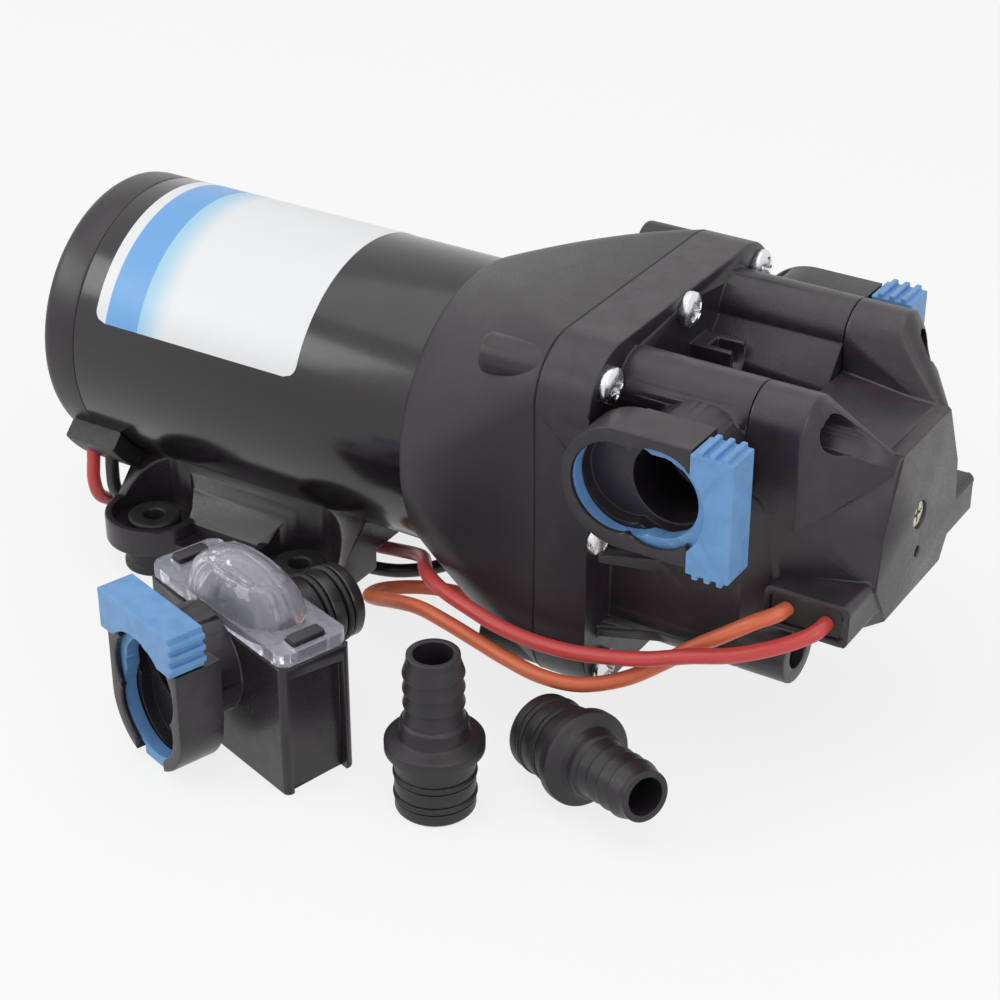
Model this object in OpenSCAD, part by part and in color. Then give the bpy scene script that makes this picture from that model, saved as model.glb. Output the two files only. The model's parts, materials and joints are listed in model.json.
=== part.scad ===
// Caravan water pump: motor, wobble drive, four-chamber diaphragm head and pressure switch,
// with its strainer and two hose fittings lying in front of it.
// Origin: centre of the four base holes on the mounting plane. +X runs along the shaft to the head.

/* [Placement] */
// Height of the motor axis above the mounting plane
axis_h = 52; // [50:0.5:60]
// Distance from the base centre to the rear rim of the drive housing
housing_x = 55; // [50:0.5:62]

/* [Motor] */
// Outer diameter of the motor can
motor_d = 68; // [66:0.5:70]
// Wall of the motor can
can_wall = 2; // [1.5:0.1:2.4]
// Visible length of the can, from the rear cap to the drive housing
can_len = 94; // [92:1:110]
// Length of the can that sits inside the drive housing
can_seat = 6; // [5:0.5:7]
// Length of the rear cap
cap_len = 10; // [9:0.5:14]
// Wall of the rear cap
cap_wall = 3; // [2:0.5:4]
// Motor shaft diameter
shaft_d = 8; // [6:0.5:8]
// Armature diameter
armature_d = 50; // [44:0.5:51]
// Thickness of the field magnets
magnet_t = 5; // [4:0.1:5.5]
// Commutator diameter
commutator_d = 20; // [18:0.5:22]
// Outer diameter of the front bearing
bearing_d = 22; // [20:0.5:24]
// Width of the front bearing
bearing_w = 7; // [6:0.5:8]

/* [Drive] */
// Tilt of the cam journal, which sets the piston stroke
tilt = 3; // [2:0.1:3.2]
// Diameter of the tilted cam journal
journal_d = 16; // [15:0.5:16.5]
// Outer diameter of the cam bearing
cam_bearing_d = 30; // [29:0.5:31]
// Width of the cam bearing
cam_bearing_w = 8; // [7:0.5:9]
// Distance of each piston from the axis
piston_pitch = 19; // [18:0.25:19.5]
// Diameter of the piston pads
piston_d = 15; // [12:0.5:15.5]
// Diameter of the wobble plate
wobble_d = 54; // [50:1:55]

/* [Drive housing] */
// Length of the drive housing along the shaft
housing_len = 39; // [38:0.5:44]
// Width of the square flange
flange_w = 83; // [82:0.5:90]
// Corner radius of the square flange
flange_corner = 13; // [11:0.5:15]
// Diameter of the cavity around the wobble plate
cavity_d = 62; // [60:0.5:63]
// Diameter of the screw bosses on the corners
boss_d = 9; // [8.6:0.2:11]
// Length of the screw bosses
boss_len = 16; // [14:0.5:20]

/* [Pump head] */
// Thickness of the head flange
flange_t = 13; // [12.5:0.25:15]
// Length of the head from the flange to the switch cover
head_len = 30; // [29:0.5:34]
// Width of the head behind the flange
head_w = 62; // [60:0.5:66]
// Diameter of the tube lobes for the cover screws
lobe_d = 15; // [14:0.25:16]
// Sideways place of the top lobes
lobe_y = 22.8; // [22:0.1:23]
// Height of the top lobes above the axis
lobe_z = 30.5; // [30:0.25:33]
// Depth of the bottom lobes below the axis
low_lobe_z = 22; // [20:0.25:23]
// Diameter of the arched pressure chamber
arch_d = 44; // [42:0.5:46]
// Diameter of the diaphragm
diaphragm_d = 69; // [68:0.5:69]
// Diaphragm thickness
diaphragm_t = 2; // [1.8:0.1:2.2]
// Diameter of the valve housing
valve_d = 67; // [66:0.5:67.5]
// Thickness of the valve housing
valve_t = 9.5; // [9.2:0.1:10]
// Distance of the corner screws from the axis
corner_screw_r = 48.5; // [48:0.1:49]
// Distance of the mid-side screws from the axis
side_screw_r = 37.6; // [37.4:0.1:38]
// Diameter of the head screws
head_screw_d = 3.8; // [3:0.1:4]
// Length of the head screws under the head
head_screw_len = 22; // [18:0.5:22]

/* [Ports] */
// Socket bore of a port
socket_d = 17.8; // [17:0.1:18]
// Depth of the socket bore
socket_len = 15; // [13:0.5:16]
// Distance of the port axis from the flange face
port_x = 20; // [19.5:0.25:20.5]
// Height of the port axis above the motor axis
port_z = 21; // [20:0.25:22]
// Distance of the inlet collar's face from the middle of the pump
port_out = 50.5; // [50:0.25:54]
// Distance of the outlet collar's face from the middle of the pump
far_port_out = 40.5; // [40.5:0.25:54]
// Width of a port collar
collar_w = 27.2; // [27:0.1:31]
// Depth of a port collar in front of the flange seat
collar_depth = 8; // [8:0.1:9]
// Thickness of a slide clip
clip_t = 3.2; // [2.8:0.1:3.3]
// Travel of a slide clip
clip_travel = 8; // [7:0.25:8.5]
// Length of the grip on a slide clip
grip_len = 9.6; // [8:0.2:11]
// Width of the grip on a slide clip
grip_w = 27; // [24:0.5:30]

/* [Switch] */
// Length of the switch cover
cover_len = 27; // [26:0.5:32]
// Height of the adjusting screw above the axis
adjuster_z = 4; // [3:0.25:5]
// Diameter of the adjusting screw
adjuster_d = 6; // [5:0.2:6.4]
// Diameter of the pressure membrane
membrane_d = 25; // [22:0.5:26]
// Travel of the plunger
plunger_travel = 1.2; // [0.8:0.1:1.4]
// Wire diameter of the switch spring
spring_wire = 0.9; // [0.6:0.05:1]
// Turns of the switch spring
spring_turns = 5; // [4:1:6]

/* [Base] */
// Spacing of the foot holes along the shaft
foot_dx = 44; // [42:0.5:56]
// Spacing of the foot holes across the shaft
foot_dy = 58; // [56:0.5:64]
// Hole in each rubber foot
foot_hole_d = 5; // [4:0.1:6]
// Diameter of a rubber foot
foot_d = 16; // [14:0.5:21]
// Height of a rubber foot under the bracket
foot_h = 8; // [6:0.25:9]
// Length of the saddle
saddle_len = 68; // [64:1:72]
// Thickness of the foot plates
plate_t = 3; // [2.5:0.25:5]
// Height of the rim of a foot cup above its plate
cup_rim = 4; // [3:0.25:5]
// Width of the channel for the leads
channel_w = 28; // [26:0.5:30]
// Thickness of the saddle between the lead channel and the can
saddle_floor = 5; // [4.5:0.25:6]

/* [Hose fittings] */
// Diameter of a spigot
spigot_d = 17.4; // [16.6:0.1:17.6]
// Length of a spigot
spigot_len = 15; // [14:0.25:16]
// Diameter of the fitting flange
fitting_flange_d = 21.4; // [20:0.1:21.6]
// Thickness of the fitting flange
fitting_flange_t = 3; // [2.5:0.1:3]
// Crest diameter of the hose tail
hose_d = 13.2; // [12.4:0.1:14]
// Length of the hose tail
hose_len = 16; // [15:0.5:22]
// Bore through a fitting
fitting_bore_d = 8.4; // [7:0.1:9]
// Thickness of an O-ring
o_ring_t = 1.6; // [1.4:0.05:1.7]

/* [Strainer] */
// Length of the strainer box
strainer_l = 50; // [48:0.5:56]
// Width of the strainer box
strainer_w = 18; // [17.5:0.25:20]
// Height of the strainer box under the lid
strainer_h = 32; // [31.5:0.25:36]
// Wall of the strainer box
strainer_wall = 2; // [1.6:0.1:2.2]
// Height of the strainer ports above the mounting plane
strainer_port_z = 23; // [22.8:0.1:24]
// Place of the strainer ports along the box
strainer_port_x = 23; // [22:0.25:25]
// Length of the neck between box and port collar
strainer_neck = 6; // [5:0.25:8]
// Thickness of the lid rim
lid_t = 3; // [2.5:0.1:3.5]
// Height of the lid dome above its rim
dome_h = 8.5; // [5:0.25:9]
// Turn of the strainer on the table
strainer_yaw = -18.5; // [-20:0.5:-16]

/* [Leads] */
// Outer diameter of a lead
lead_d = 3.4; // [3:0.1:3.6]

/* [Hidden] */
$fn = 64;
slim_fn = 32;
// Fit between a part and the seat that it is pushed into
seat_clear = 0.02;
// Running clearance of a shaft or a ball
run_clear = 0.05;
// Clearance of a screw in its hole
screw_clear = 0.15;
// Clearance around pieces that slide
slide_clear = 0.3;

motor_r = motor_d / 2;
can_in_r = motor_r - can_wall;
shaft_r = shaft_d / 2;
rear_seam_x = housing_x - can_len;
motor_rear_x = rear_seam_x - cap_len;
can_front_x = housing_x + can_seat;
joint_x = housing_x + housing_len;
flange_x = joint_x + flange_t;
seam_x = flange_x + head_len;
end_x = seam_x + cover_len;
flange_half = flange_w / 2;

// Motor inside
cap_round = 2.5;
cap_lip = 3;
cap_lip_t = 2;
bush_r = shaft_r + 4;
bush_len = 9;
front_plate_t = 5;
bearing_lip = 1;
bearing_r = bearing_d / 2;
bearing_x = can_front_x - bearing_lip - bearing_w;
bearing_ring_t = 2;
bearing_ball_r = (bearing_r - shaft_r - 2 * bearing_ring_t) / 2 - run_clear;
bearing_ball_pitch = (bearing_r + shaft_r) / 2;
bearing_balls = 7;
brush_room = 25;
armature_x = rear_seam_x + brush_room;
front_room = 19;
armature_len = can_len - brush_room - front_room;
armature_r = armature_d / 2;
slots = 12;
slot_r = 2.2;
slot_pitch = armature_r - slot_r - 1.2;
winding_over = 8;
winding_gap = 0.2;
commutator_r = commutator_d / 2;
commutator_inset = 5;
commutator_x = rear_seam_x + commutator_inset;
commutator_len = armature_x - winding_over - winding_gap - commutator_x;
magnet_over = 14;
magnet_x = armature_x - magnet_over;
magnet_len = armature_len + 20;
magnet_gap_half = 9;
card_x = rear_seam_x + cap_lip;
card_t = 2;
brush_w = 6;
brush_l = 8;
brush_h = 11;
brush_box_wall = 1.2;
brush_x = commutator_x + 1.5;
brush_top = commutator_r + 0.1 + brush_h;
brush_box_end = can_in_r - 3.5;

gland_back = 7;
gland_len = 15;
gland_w = 12;
gland_thick = 5;
gland_turn = -46;

// Drive inside
web_t = 3;
web_x = can_front_x;
web_hole_r = 13;
housing_skin = 0.8;
motor_screw_r = 24;
motor_screw_d = 4;
cavity_r = cavity_d / 2;
nut_x = joint_x + diaphragm_t / 2;
journal_r = journal_d / 2;
cam_bearing_r = cam_bearing_d / 2;
cam_ring_t = 2;
cam_ball_r = (cam_bearing_r - journal_r - 2 * cam_ring_t) / 2 - run_clear;
cam_ball_pitch = (cam_bearing_r + journal_r) / 2;
cam_balls = 9;
plate_back = -14;
plate_front = -9;
cam_bearing_back = plate_back - 0.4 - cam_bearing_w;
hub_t = 3.5;
stem_r = piston_d / 2 - 1.5;
pad_t = 4;
piston_screw_r = 1.6;
cam_disc_r = 12;
cam_disc_x = web_x + web_t + 1.5;
cam_disc_t = 3;
shaft_end_x = nut_x + plate_back - 1.5;
shaft_start_x = motor_rear_x + cap_wall + 1;

// Pump head inside
diaphragm_r = diaphragm_d / 2;
diaphragm_flex_r = cavity_r - 3.5;
valve_r = valve_d / 2;
valve_x = joint_x + diaphragm_t;
valve_relief = 2.2;
chamber_r = piston_d / 2 + 2;
chamber_floor_x = valve_x + valve_relief + 4.4;
valve_front_x = valve_x + valve_t;
valve_leaf_t = 0.8;
valve_leaf_r = 4.5;
outlet_leaf_r = 9;
head_bore_x = valve_front_x + 0.5;
seal_r = 0.8;
seal_pitch = valve_r - 3;
passage_r = 6;
passage_mouth_r = passage_r + 1.4;
passage_y = 17;
port_axis_x = flange_x + port_x;
near_seat_y = port_out - collar_depth;
far_seat_y = far_port_out - collar_depth;
neck_r = 12.5;
lobe_r = lobe_d / 2;
low_lobe_y = lobe_y + 1;
valley_half = 9;
valley_floor = 22.5;
latch = [10, 8, 7];
latch_slot = 4;
head_screw_head_r = head_screw_d * 1.05;
head_relief = head_screw_head_r + 0.4;
core_floor = low_lobe_z + lobe_r - 0.5;
membrane_t = 1.5;
membrane_r = membrane_d / 2;
chamber_depth = 4;

// Port collar and slide clip, in a frame with the port axis on +Z and the slide on +X
opening_r = fitting_flange_d / 2 + 0.4;
clip_hole_r = fitting_flange_d / 2 + 0.3;
clip_slot_r = socket_d / 2 + 0.3;
clip_rail = 1.2;
clip_r = clip_hole_r + clip_rail;
channel_r = clip_r + slide_clear;
clip_z = fitting_flange_t + 0.2;
clip_room = 0.2;
collar_r = collar_w / 2;
collar_end = 8;
collar_base = 3;
grip_gap = 0.4;
grip_low = 0.6;
grip_high = collar_depth + 1.5;
grip_ribs = 3;
grip_rib_w = 1.3;
grip_rib_h = 1;
mouth_tail_r = opening_r - 1.1;
mouth_half = 8.25;
tail_gap = 11;
grip_round = 12;

// Switch inside
cover_cavity_len = 16;
cover_cavity_half = 18;
cover_cavity_low = -16;
cover_cavity_high = 17;
end_face = [[-12, 24], [12, 24], [19.5, 8], [21, -4], [14, -15], [-14, -15], [-21, -4], [-19.5, 8]];
seam_face_half = head_w / 2;
seam_face_top = 24;
ledge_depth = 33;
ledge_top = -2;
ledge_low = -12;
ledge_x = seam_x + 7;
ledge_len = 19.5;
gland_inset = 1.6;
gland_t = 2;
cover_lobe_len = 12;
ridge_root = 12;
ridge_tip_r = 2;
cover_screw_seat = 6;
cover_screw_r = 1.5;
cover_screw_head_r = 3.5;
cover_screw_hole_r = cover_screw_head_r + 0.5;
cover_screw_len = 5;
adjuster_r = adjuster_d / 2;
adjuster_nose_x = seam_x + cover_cavity_len + 1;
adjuster_nose_t = 2;
plunger_r = 5;
plunger_t = 4.5;
plunger_stem_r = 2.2;
spring_r = 3.6;
plunger_x = seam_x + slide_clear;
spring_seat_gap = 0.1;
spring_start_x = plunger_x + plunger_t + spring_seat_gap;
spring_len = adjuster_nose_x - spring_seat_gap - spring_start_x;

// Base
channel_h = axis_h - motor_r - saddle_floor;
foot_r = foot_d / 2;
plate_z = foot_h;
plate_top = foot_h + plate_t;
foot_neck_r = 4.5;
foot_cap_r = 6.5;
foot_cap_t = 2.5;
pocket_r = 10;
foot_pad_r = 12;
saddle_top_y = 19;
saddle_low_y = foot_dy / 2;
saddle_top_z = axis_h - 28;
saddle_screw_x = 18;
saddle_screw_r = 2;
saddle_screw_head_r = 4;
saddle_screw_head_t = 2.5;

// Fittings
spigot_r = spigot_d / 2;
fitting_flange_r = fitting_flange_d / 2;
hose_r = hose_d / 2;
fitting_bore_r = fitting_bore_d / 2;
neck_len = 4.5;
fitting_len = spigot_len + fitting_flange_t + neck_len + hose_len;
fitting_neck_r = hose_r + 0.7;
barbs = 4;
barb_drop = 0.9;
o_ring_r = o_ring_t / 2;
groove_r = spigot_r - 1.3;
groove_w = o_ring_t + 0.4;
o_ring_pitch = groove_r + o_ring_r + seat_clear;
o_ring_out = o_ring_pitch + o_ring_r;
o_ring_z = [4.2, 9.4];
// Places of the two loose fittings on the mounting plane
fitting_a_at = [91, -76, 0];
fitting_b_at = [102, -51, 0];
fitting_b_yaw = -25;
// The lying fitting rests on its flange and on its first O-ring
fitting_b_tilt = atan((fitting_flange_r - o_ring_out) / (spigot_len - o_ring_z[0]));
fitting_b_h = (o_ring_out - o_ring_z[0] * tan(fitting_b_tilt)) * cos(fitting_b_tilt) + 0.05;

// Strainer
strainer_at = [15.5, -75, 0];
strainer_floor_z = 3;
end_recess = 2;
lid_z = strainer_h + 0.5;
lid_seal_t = 1.2;
lug_l = 7;
window_w = 8;
window_l = 3.4;
tab_top = lid_z + lid_t + 1.2;
screen_r = 6.5;
screen_t = 0.8;
screen_x0 = 5;

// Leads: route points chosen by hand, from the first end to the last
lead_r = lead_d / 2;
lead_sides = 8;
red_route = [
    [-42, -26.5, 27], [-42, -27, 22], [-42.5, -27, 16], [-43, -24.5, 10], [-42.5, -18, 6], [-38.5, -9.5, 4.2],
    [-31, -3.5, 4], [-22, -1.5, 4], [-13, -1, 4], [-4, -1, 4], [5, -1, 4], [14, -1, 4], [23, -1, 4.5],
    [32, -2.5, 6.5], [40, -6.5, 10], [46.5, -13, 14.5], [52, -20.5, 19], [57.5, -28.5, 23.5],
    [63.5, -36, 27], [71, -41.5, 28.5], [79.5, -44.5, 28.5], [88, -46, 27.5], [97, -46.5, 27],
    [106, -46.5, 27.5], [115, -46, 29], [124, -45, 31], [133, -43.5, 34], [142, -42, 36.5],
    [150.5, -39.5, 40], [157, -36, 43.5], [158.5, -31, 45]
];
orange_route = [
    [149.5, -31, 45.2], [148.5, -35, 45], [144.5, -37.5, 43], [138.5, -38.5, 38.5], [132, -39, 33.5],
    [125.5, -40.5, 28], [118, -43.5, 23], [109, -46.5, 20], [100, -47.5, 19.5], [91, -46.5, 20],
    [82, -45, 21], [73, -43.5, 22],
    [64, -41, 21.5], [55.5, -38.5, 19], [47.5, -34.5, 15], [41.5, -28, 10.5], [40.5, -20, 7.5],
    [46, -14, 6.5], [54.5, -12, 7], [64, -9, 5.5], [72.5, -3.5, 3.5], [78, 5, 2.5],
    [79.5, 14, 2.2], [78, 23, 2.2], [74, 31, 2.2], [67.5, 37, 2.2],
    [60, 40, 2.2]
];
black_route = [
    [-37, -25.5, 25.5], [-37, -26, 20.5], [-37.5, -25, 14], [-38, -20.5, 8.5], [-36.5, -13, 5],
    [-30, -9, 4], [-21, -8, 4], [-12, -8, 4], [-3, -8, 4], [6, -8, 4], [15, -8, 3.5], [24, -7.5, 2.5],
    [33, -5, 2.2], [40, 1, 2.2], [44, 9, 2.2], [45, 18, 2.2], [44.5, 27, 2.2], [43, 36, 2.2], [39, 44, 2.2],
    [32, 49.5, 2.2], [23.5, 51.5, 2.2], [15, 51.5, 2.2]
];
bare_len = 8;
bare_r = 0.9;

// Places a shape whose axis is +Z onto the motor axis at x, with its +Z along the shaft
module on_axis(x) {
    translate([x, 0, axis_h]) rotate([0, 90, 0]) children();
}

// Extrudes a section drawn as (y, z from the axis) along the shaft
module section_x(x, len) {
    translate([x, 0, axis_h]) rotate([90, 0, 90]) linear_extrude(len) children();
}

// Frame of the wobble plate: its +X is the tilted journal axis, through the nutation centre
module tilted() {
    translate([nut_x, 0, axis_h]) rotate([0, tilt, 0]) children();
}

module tilted_axis(x) {
    tilted() translate([x, 0, 0]) rotate([0, 90, 0]) children();
}

module ring(r_out, r_in, len) {
    difference() {
        cylinder(r = r_out, h = len);
        translate([0, 0, -1]) cylinder(r = r_in, h = len + 2);
    }
}

module torus(pitch, r) {
    rotate_extrude() translate([pitch, 0]) circle(r, $fn = slim_fn);
}

module rounded_square(half, r) {
    square([2 * half, 2 * (half - r)], center = true);
    square([2 * (half - r), 2 * half], center = true);
    for (sy = [-1, 1], sz = [-1, 1])
        translate([sy * (half - r), sz * (half - r)]) circle(r);
}

module rounded_box_2d(size, r) {
    translate([r, 0]) square([size[0] - 2 * r, size[1]]);
    translate([0, r]) square([size[0], size[1] - 2 * r]);
    for (x = [r, size[0] - r], y = [r, size[1] - r])
        translate([x, y]) circle(r, $fn = slim_fn);
}

// Cross recess of a screw, cut down from z = 0
module cross_recess(r, depth) {
    for (a = [0, 90])
        rotate(a) translate([-r, -r / 5, -depth]) cube([2 * r, 2 * r / 5, depth + 1]);
}

// Pan-head screw along +Z: the shank runs from -len to 0 and the head stands on z = 0
module pan_screw(r, len, head_r, head_t) {
    difference() {
        union() {
            translate([0, 0, -len]) cylinder(r = r, h = len + 0.1);
            rotate_extrude() intersection() {
                translate([0, head_t - head_r * 1.2]) circle(head_r * 1.2);
                square([head_r, head_t]);
            }
        }
        translate([0, 0, head_t]) cross_recess(head_r * 0.6, head_t * 0.6);
    }
}

// Tube swept along a path: one ring of points at each path point
function unit(v) = v / norm(v);
function tangent(p, i) = unit(p[min(i + 1, len(p) - 1)] - p[max(i - 1, 0)]);
function tube_ring(p, i, r, sides, ref) =
    let (t = tangent(p, i), n = unit(cross(t, ref)), b = cross(t, n))
    [for (k = [0 : sides - 1]) p[i] + r * (cos(360 * k / sides) * n + sin(360 * k / sides) * b)];
function tube_points(p, r, sides, ref) =
    [for (i = [0 : len(p) - 1]) each tube_ring(p, i, r, sides, ref)];
function tube_faces(rings, sides) = concat(
    [[for (k = [0 : sides - 1]) k]],
    [[for (k = [sides - 1 : -1 : 0]) (rings - 1) * sides + k]],
    [for (i = [0 : rings - 2], k = [0 : sides - 1])
        [i * sides + k, (i + 1) * sides + k, (i + 1) * sides + (k + 1) % sides]],
    [for (i = [0 : rings - 2], k = [0 : sides - 1])
        [i * sides + k, (i + 1) * sides + (k + 1) % sides, i * sides + (k + 1) % sides]]
);
module tube(path, r, sides, ref) {
    polyhedron(tube_points(path, r, sides, ref), tube_faces(len(path), sides), convexity = 10);
}

// Coil spring along +Z, standing on z = 0
spring_rings = 10;
spring_sides = 6;
function coil_path(r, turns, len, wire) =
    [for (i = [0 : turns * spring_rings])
        let (a = 360 * i / spring_rings)
        [r * cos(a), r * sin(a), wire / 2 + (len - wire) * i / (turns * spring_rings)]];
module coil(r, turns, len, wire) {
    echo(coil_gap = (len - wire) / turns - wire);
    tube(coil_path(r, turns, len, wire), wire / 2, spring_sides, [0, 0, 1]);
}

// Motor

module motor_can() {
    color("#1d1d1f") difference() {
        on_axis(rear_seam_x) ring(motor_r, can_in_r, can_len + can_seat);
        for (x = [-saddle_screw_x, saddle_screw_x])
            translate([x, 0, axis_h - motor_r - 1])
                cylinder(r = saddle_screw_r + screw_clear, h = can_wall + 2);
    }
}

module motor_rear_cap() {
    lip_r = can_in_r - 0.1;
    bore = bush_r + seat_clear;
    color("#232326") on_axis(motor_rear_x) rotate_extrude() difference() {
        union() {
            square([motor_r - cap_round, cap_len]);
            translate([0, cap_round]) square([motor_r, cap_len - cap_round]);
            translate([motor_r - cap_round, cap_round]) circle(cap_round, $fn = slim_fn);
            square([lip_r, cap_len + cap_lip]);
        }
        translate([bush_r + 3, cap_wall]) square([lip_r - cap_lip_t - bush_r - 3, cap_len + cap_lip]);
        translate([-1, cap_wall]) square([bore + 1, cap_len + cap_lip]);
        translate([-1, cap_wall + bush_len]) square([bush_r + 5, cap_len + cap_lip]);
    }
}

module motor_front_plate() {
    color("#8d8f92") difference() {
        union() {
            on_axis(can_front_x - front_plate_t) cylinder(r = can_in_r - 0.1, h = front_plate_t);
            on_axis(bearing_x - bearing_lip) cylinder(r = bearing_r + 3, h = bearing_w);
        }
        on_axis(bearing_x) cylinder(r = bearing_r + seat_clear, h = bearing_w + 2);
        on_axis(bearing_x - 2) cylinder(r = bearing_r - 2, h = bearing_w);
        for (a = [0, 180])
            on_axis(can_front_x - front_plate_t - 1) rotate(a) translate([motor_screw_r, 0, 0])
                cylinder(r = motor_screw_d / 2 + screw_clear, h = front_plate_t + 2);
    }
}

module field_magnets() {
    color("#3a3a3d") difference() {
        on_axis(magnet_x) ring(can_in_r - seat_clear, can_in_r - magnet_t, magnet_len);
        translate([magnet_x - 1, -motor_r, axis_h - magnet_gap_half])
            cube([magnet_len + 2, motor_d, 2 * magnet_gap_half]);
    }
}

module armature_core() {
    color("#77787c") on_axis(armature_x) difference() {
        ring(armature_r, shaft_r + seat_clear, armature_len);
        for (i = [0 : slots - 1])
            rotate(i * 360 / slots) {
                translate([slot_pitch, 0, -1]) cylinder(r = slot_r, h = armature_len + 2);
                translate([slot_pitch, -0.6, -1]) cube([armature_r, 1.2, armature_len + 2]);
            }
    }
}

module armature_winding() {
    inner = commutator_r + 1;
    end_t = winding_over - winding_gap;
    color("#b0642a") on_axis(armature_x) {
        for (z = [-winding_over, armature_len + winding_gap])
            translate([0, 0, z]) ring(slot_pitch + slot_r + winding_gap, inner, end_t);
        for (i = [0 : slots - 1])
            rotate(i * 360 / slots) translate([slot_pitch, 0, -winding_over / 2])
                cylinder(r = slot_r - winding_gap, h = armature_len + winding_over, $fn = slim_fn);
    }
}

module commutator() {
    bars = 12;
    color("#b5763a") on_axis(commutator_x) difference() {
        union() {
            ring(commutator_r, shaft_r + seat_clear, commutator_len);
            translate([0, 0, commutator_len - 1.5]) ring(commutator_r + 2, shaft_r + seat_clear, 1.5);
        }
        for (i = [0 : bars - 1])
            rotate(i * 360 / bars) translate([commutator_r - 0.8, -0.3, -1]) cube([4, 0.6, commutator_len + 2]);
    }
}

module motor_shaft() {
    color("#c9cbce") on_axis(shaft_start_x) cylinder(r = shaft_r, h = shaft_end_x - shaft_start_x);
}

module front_bearing_outer() {
    color("#b9bbbe") on_axis(bearing_x) ring(bearing_r, bearing_r - bearing_ring_t, bearing_w);
}

module front_bearing_inner() {
    color("#b9bbbe") on_axis(bearing_x) ring(shaft_r + bearing_ring_t, shaft_r + seat_clear, bearing_w);
}

module front_bearing_balls() {
    color("#d5d7da") on_axis(bearing_x + bearing_w / 2)
        for (i = [0 : bearing_balls - 1])
            rotate(i * 360 / bearing_balls) translate([bearing_ball_pitch, 0, 0])
                sphere(bearing_ball_r, $fn = slim_fn);
}

module rear_bearing() {
    color("#a58a4e") on_axis(motor_rear_x + cap_wall) ring(bush_r, shaft_r + run_clear, bush_len);
}

// Places a brush piece, drawn along +Z from the axis outwards, on both sides of the commutator
module brush_sides() {
    for (s = [-1, 1])
        translate([brush_x + brush_l / 2, 0, axis_h]) rotate([s * -90, 0, 0]) children();
}

module brush_card() {
    hole = commutator_r + 3;
    box_w = brush_w + 2 * brush_box_wall + 0.4;
    box_l = brush_x + brush_l + 0.2 + brush_box_wall - card_x - card_t;
    color("#3d2b1f") {
        difference() {
            on_axis(card_x) ring(can_in_r - 0.2, hole, card_t);
            brush_sides() translate([-20, -2, hole - 3]) cube([20 - brush_l / 2 - 1, 4, 5]);
        }
        difference() {
            for (s = [-1, 1])
                translate([card_x + card_t - 0.1, -box_w / 2, axis_h])
                    translate([0, box_w / 2, 0]) rotate([s * -90, 0, 0])
                        translate([0, -box_w / 2, hole]) cube([box_l + 0.1, box_w, brush_box_end - hole]);
            brush_sides() translate([-brush_l / 2 - 0.2, -brush_w / 2 - 0.2, 0])
                cube([brush_l + 0.4, brush_w + 0.4, brush_box_end - brush_box_wall]);
        }
    }
}

module carbon_brushes() {
    color("#2b2b2b") difference() {
        brush_sides() translate([-brush_l / 2, -brush_w / 2, commutator_r - 2])
            cube([brush_l, brush_w, brush_h + 2.1]);
        on_axis(commutator_x) cylinder(r = commutator_r + 0.1, h = commutator_len);
    }
}

module brush_springs() {
    color("#c4c6c9") brush_sides() translate([0, 0, brush_top + spring_seat_gap])
        coil(2, 4, brush_box_end - brush_box_wall - brush_top - 2 * spring_seat_gap, 0.6);
}

// Flat gland that lies against the can below its near side
module lead_gland() {
    color("#1a1a1b") on_axis(rear_seam_x - gland_back) intersection() {
        ring(motor_r + gland_thick, motor_r + seat_clear, gland_len);
        rotate(gland_turn) translate([motor_r - 8, -gland_w / 2, 0]) cube([20, gland_w, gland_len]);
    }
}

module motor_screws() {
    color("#b9bbbe") for (a = [0, 180])
        on_axis(web_x + web_t) rotate(a) translate([motor_screw_r, 0, 0])
            pan_screw(motor_screw_d / 2, web_t + front_plate_t, motor_screw_d, 2.4);
}

// Drive housing and wobble drive

// Places of the eight head screws as [angle, distance from the axis]
head_screw_places = [for (i = [0 : 7]) [45 * i, i % 2 == 1 ? corner_screw_r : side_screw_r]];

module at_head_screws(x) {
    for (p = head_screw_places)
        on_axis(x) rotate(p[0]) translate([p[1], 0, 0]) children();
}

module drive_housing() {
    rim_r = motor_r + housing_skin;
    color("#232225") difference() {
        union() {
            hull() {
                on_axis(housing_x) cylinder(r = rim_r, h = 1);
                on_axis(housing_x + 5) cylinder(r = rim_r + 1.4, h = 1);
                section_x(joint_x - 20, 1) rounded_square(flange_half - 2.6, flange_corner * 2);
                section_x(joint_x - 9, 1) rounded_square(flange_half - 0.8, flange_corner * 1.45);
                section_x(joint_x - 1, 1) rounded_square(flange_half, flange_corner);
            }
            for (a = [45 : 90 : 315])
                on_axis(joint_x - boss_len) rotate(a) translate([corner_screw_r, 0, 0])
                    cylinder(r = boss_d / 2, h = boss_len - 0.5);
        }
        on_axis(housing_x - 1) cylinder(r = motor_r + 0.1, h = can_seat + 1);
        on_axis(web_x - 1) cylinder(r = web_hole_r, h = web_t + 2);
        on_axis(web_x + web_t) cylinder(r = cavity_r, h = housing_len);
        for (a = [0, 180])
            on_axis(web_x - 1) rotate(a) translate([motor_screw_r, 0, 0])
                cylinder(r = motor_screw_d / 2 + screw_clear, h = web_t + 2);
        at_head_screws(joint_x - (head_screw_len - flange_t) - 1)
            cylinder(r = head_screw_d / 2 + screw_clear / 2, h = head_screw_len);
    }
}

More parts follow.
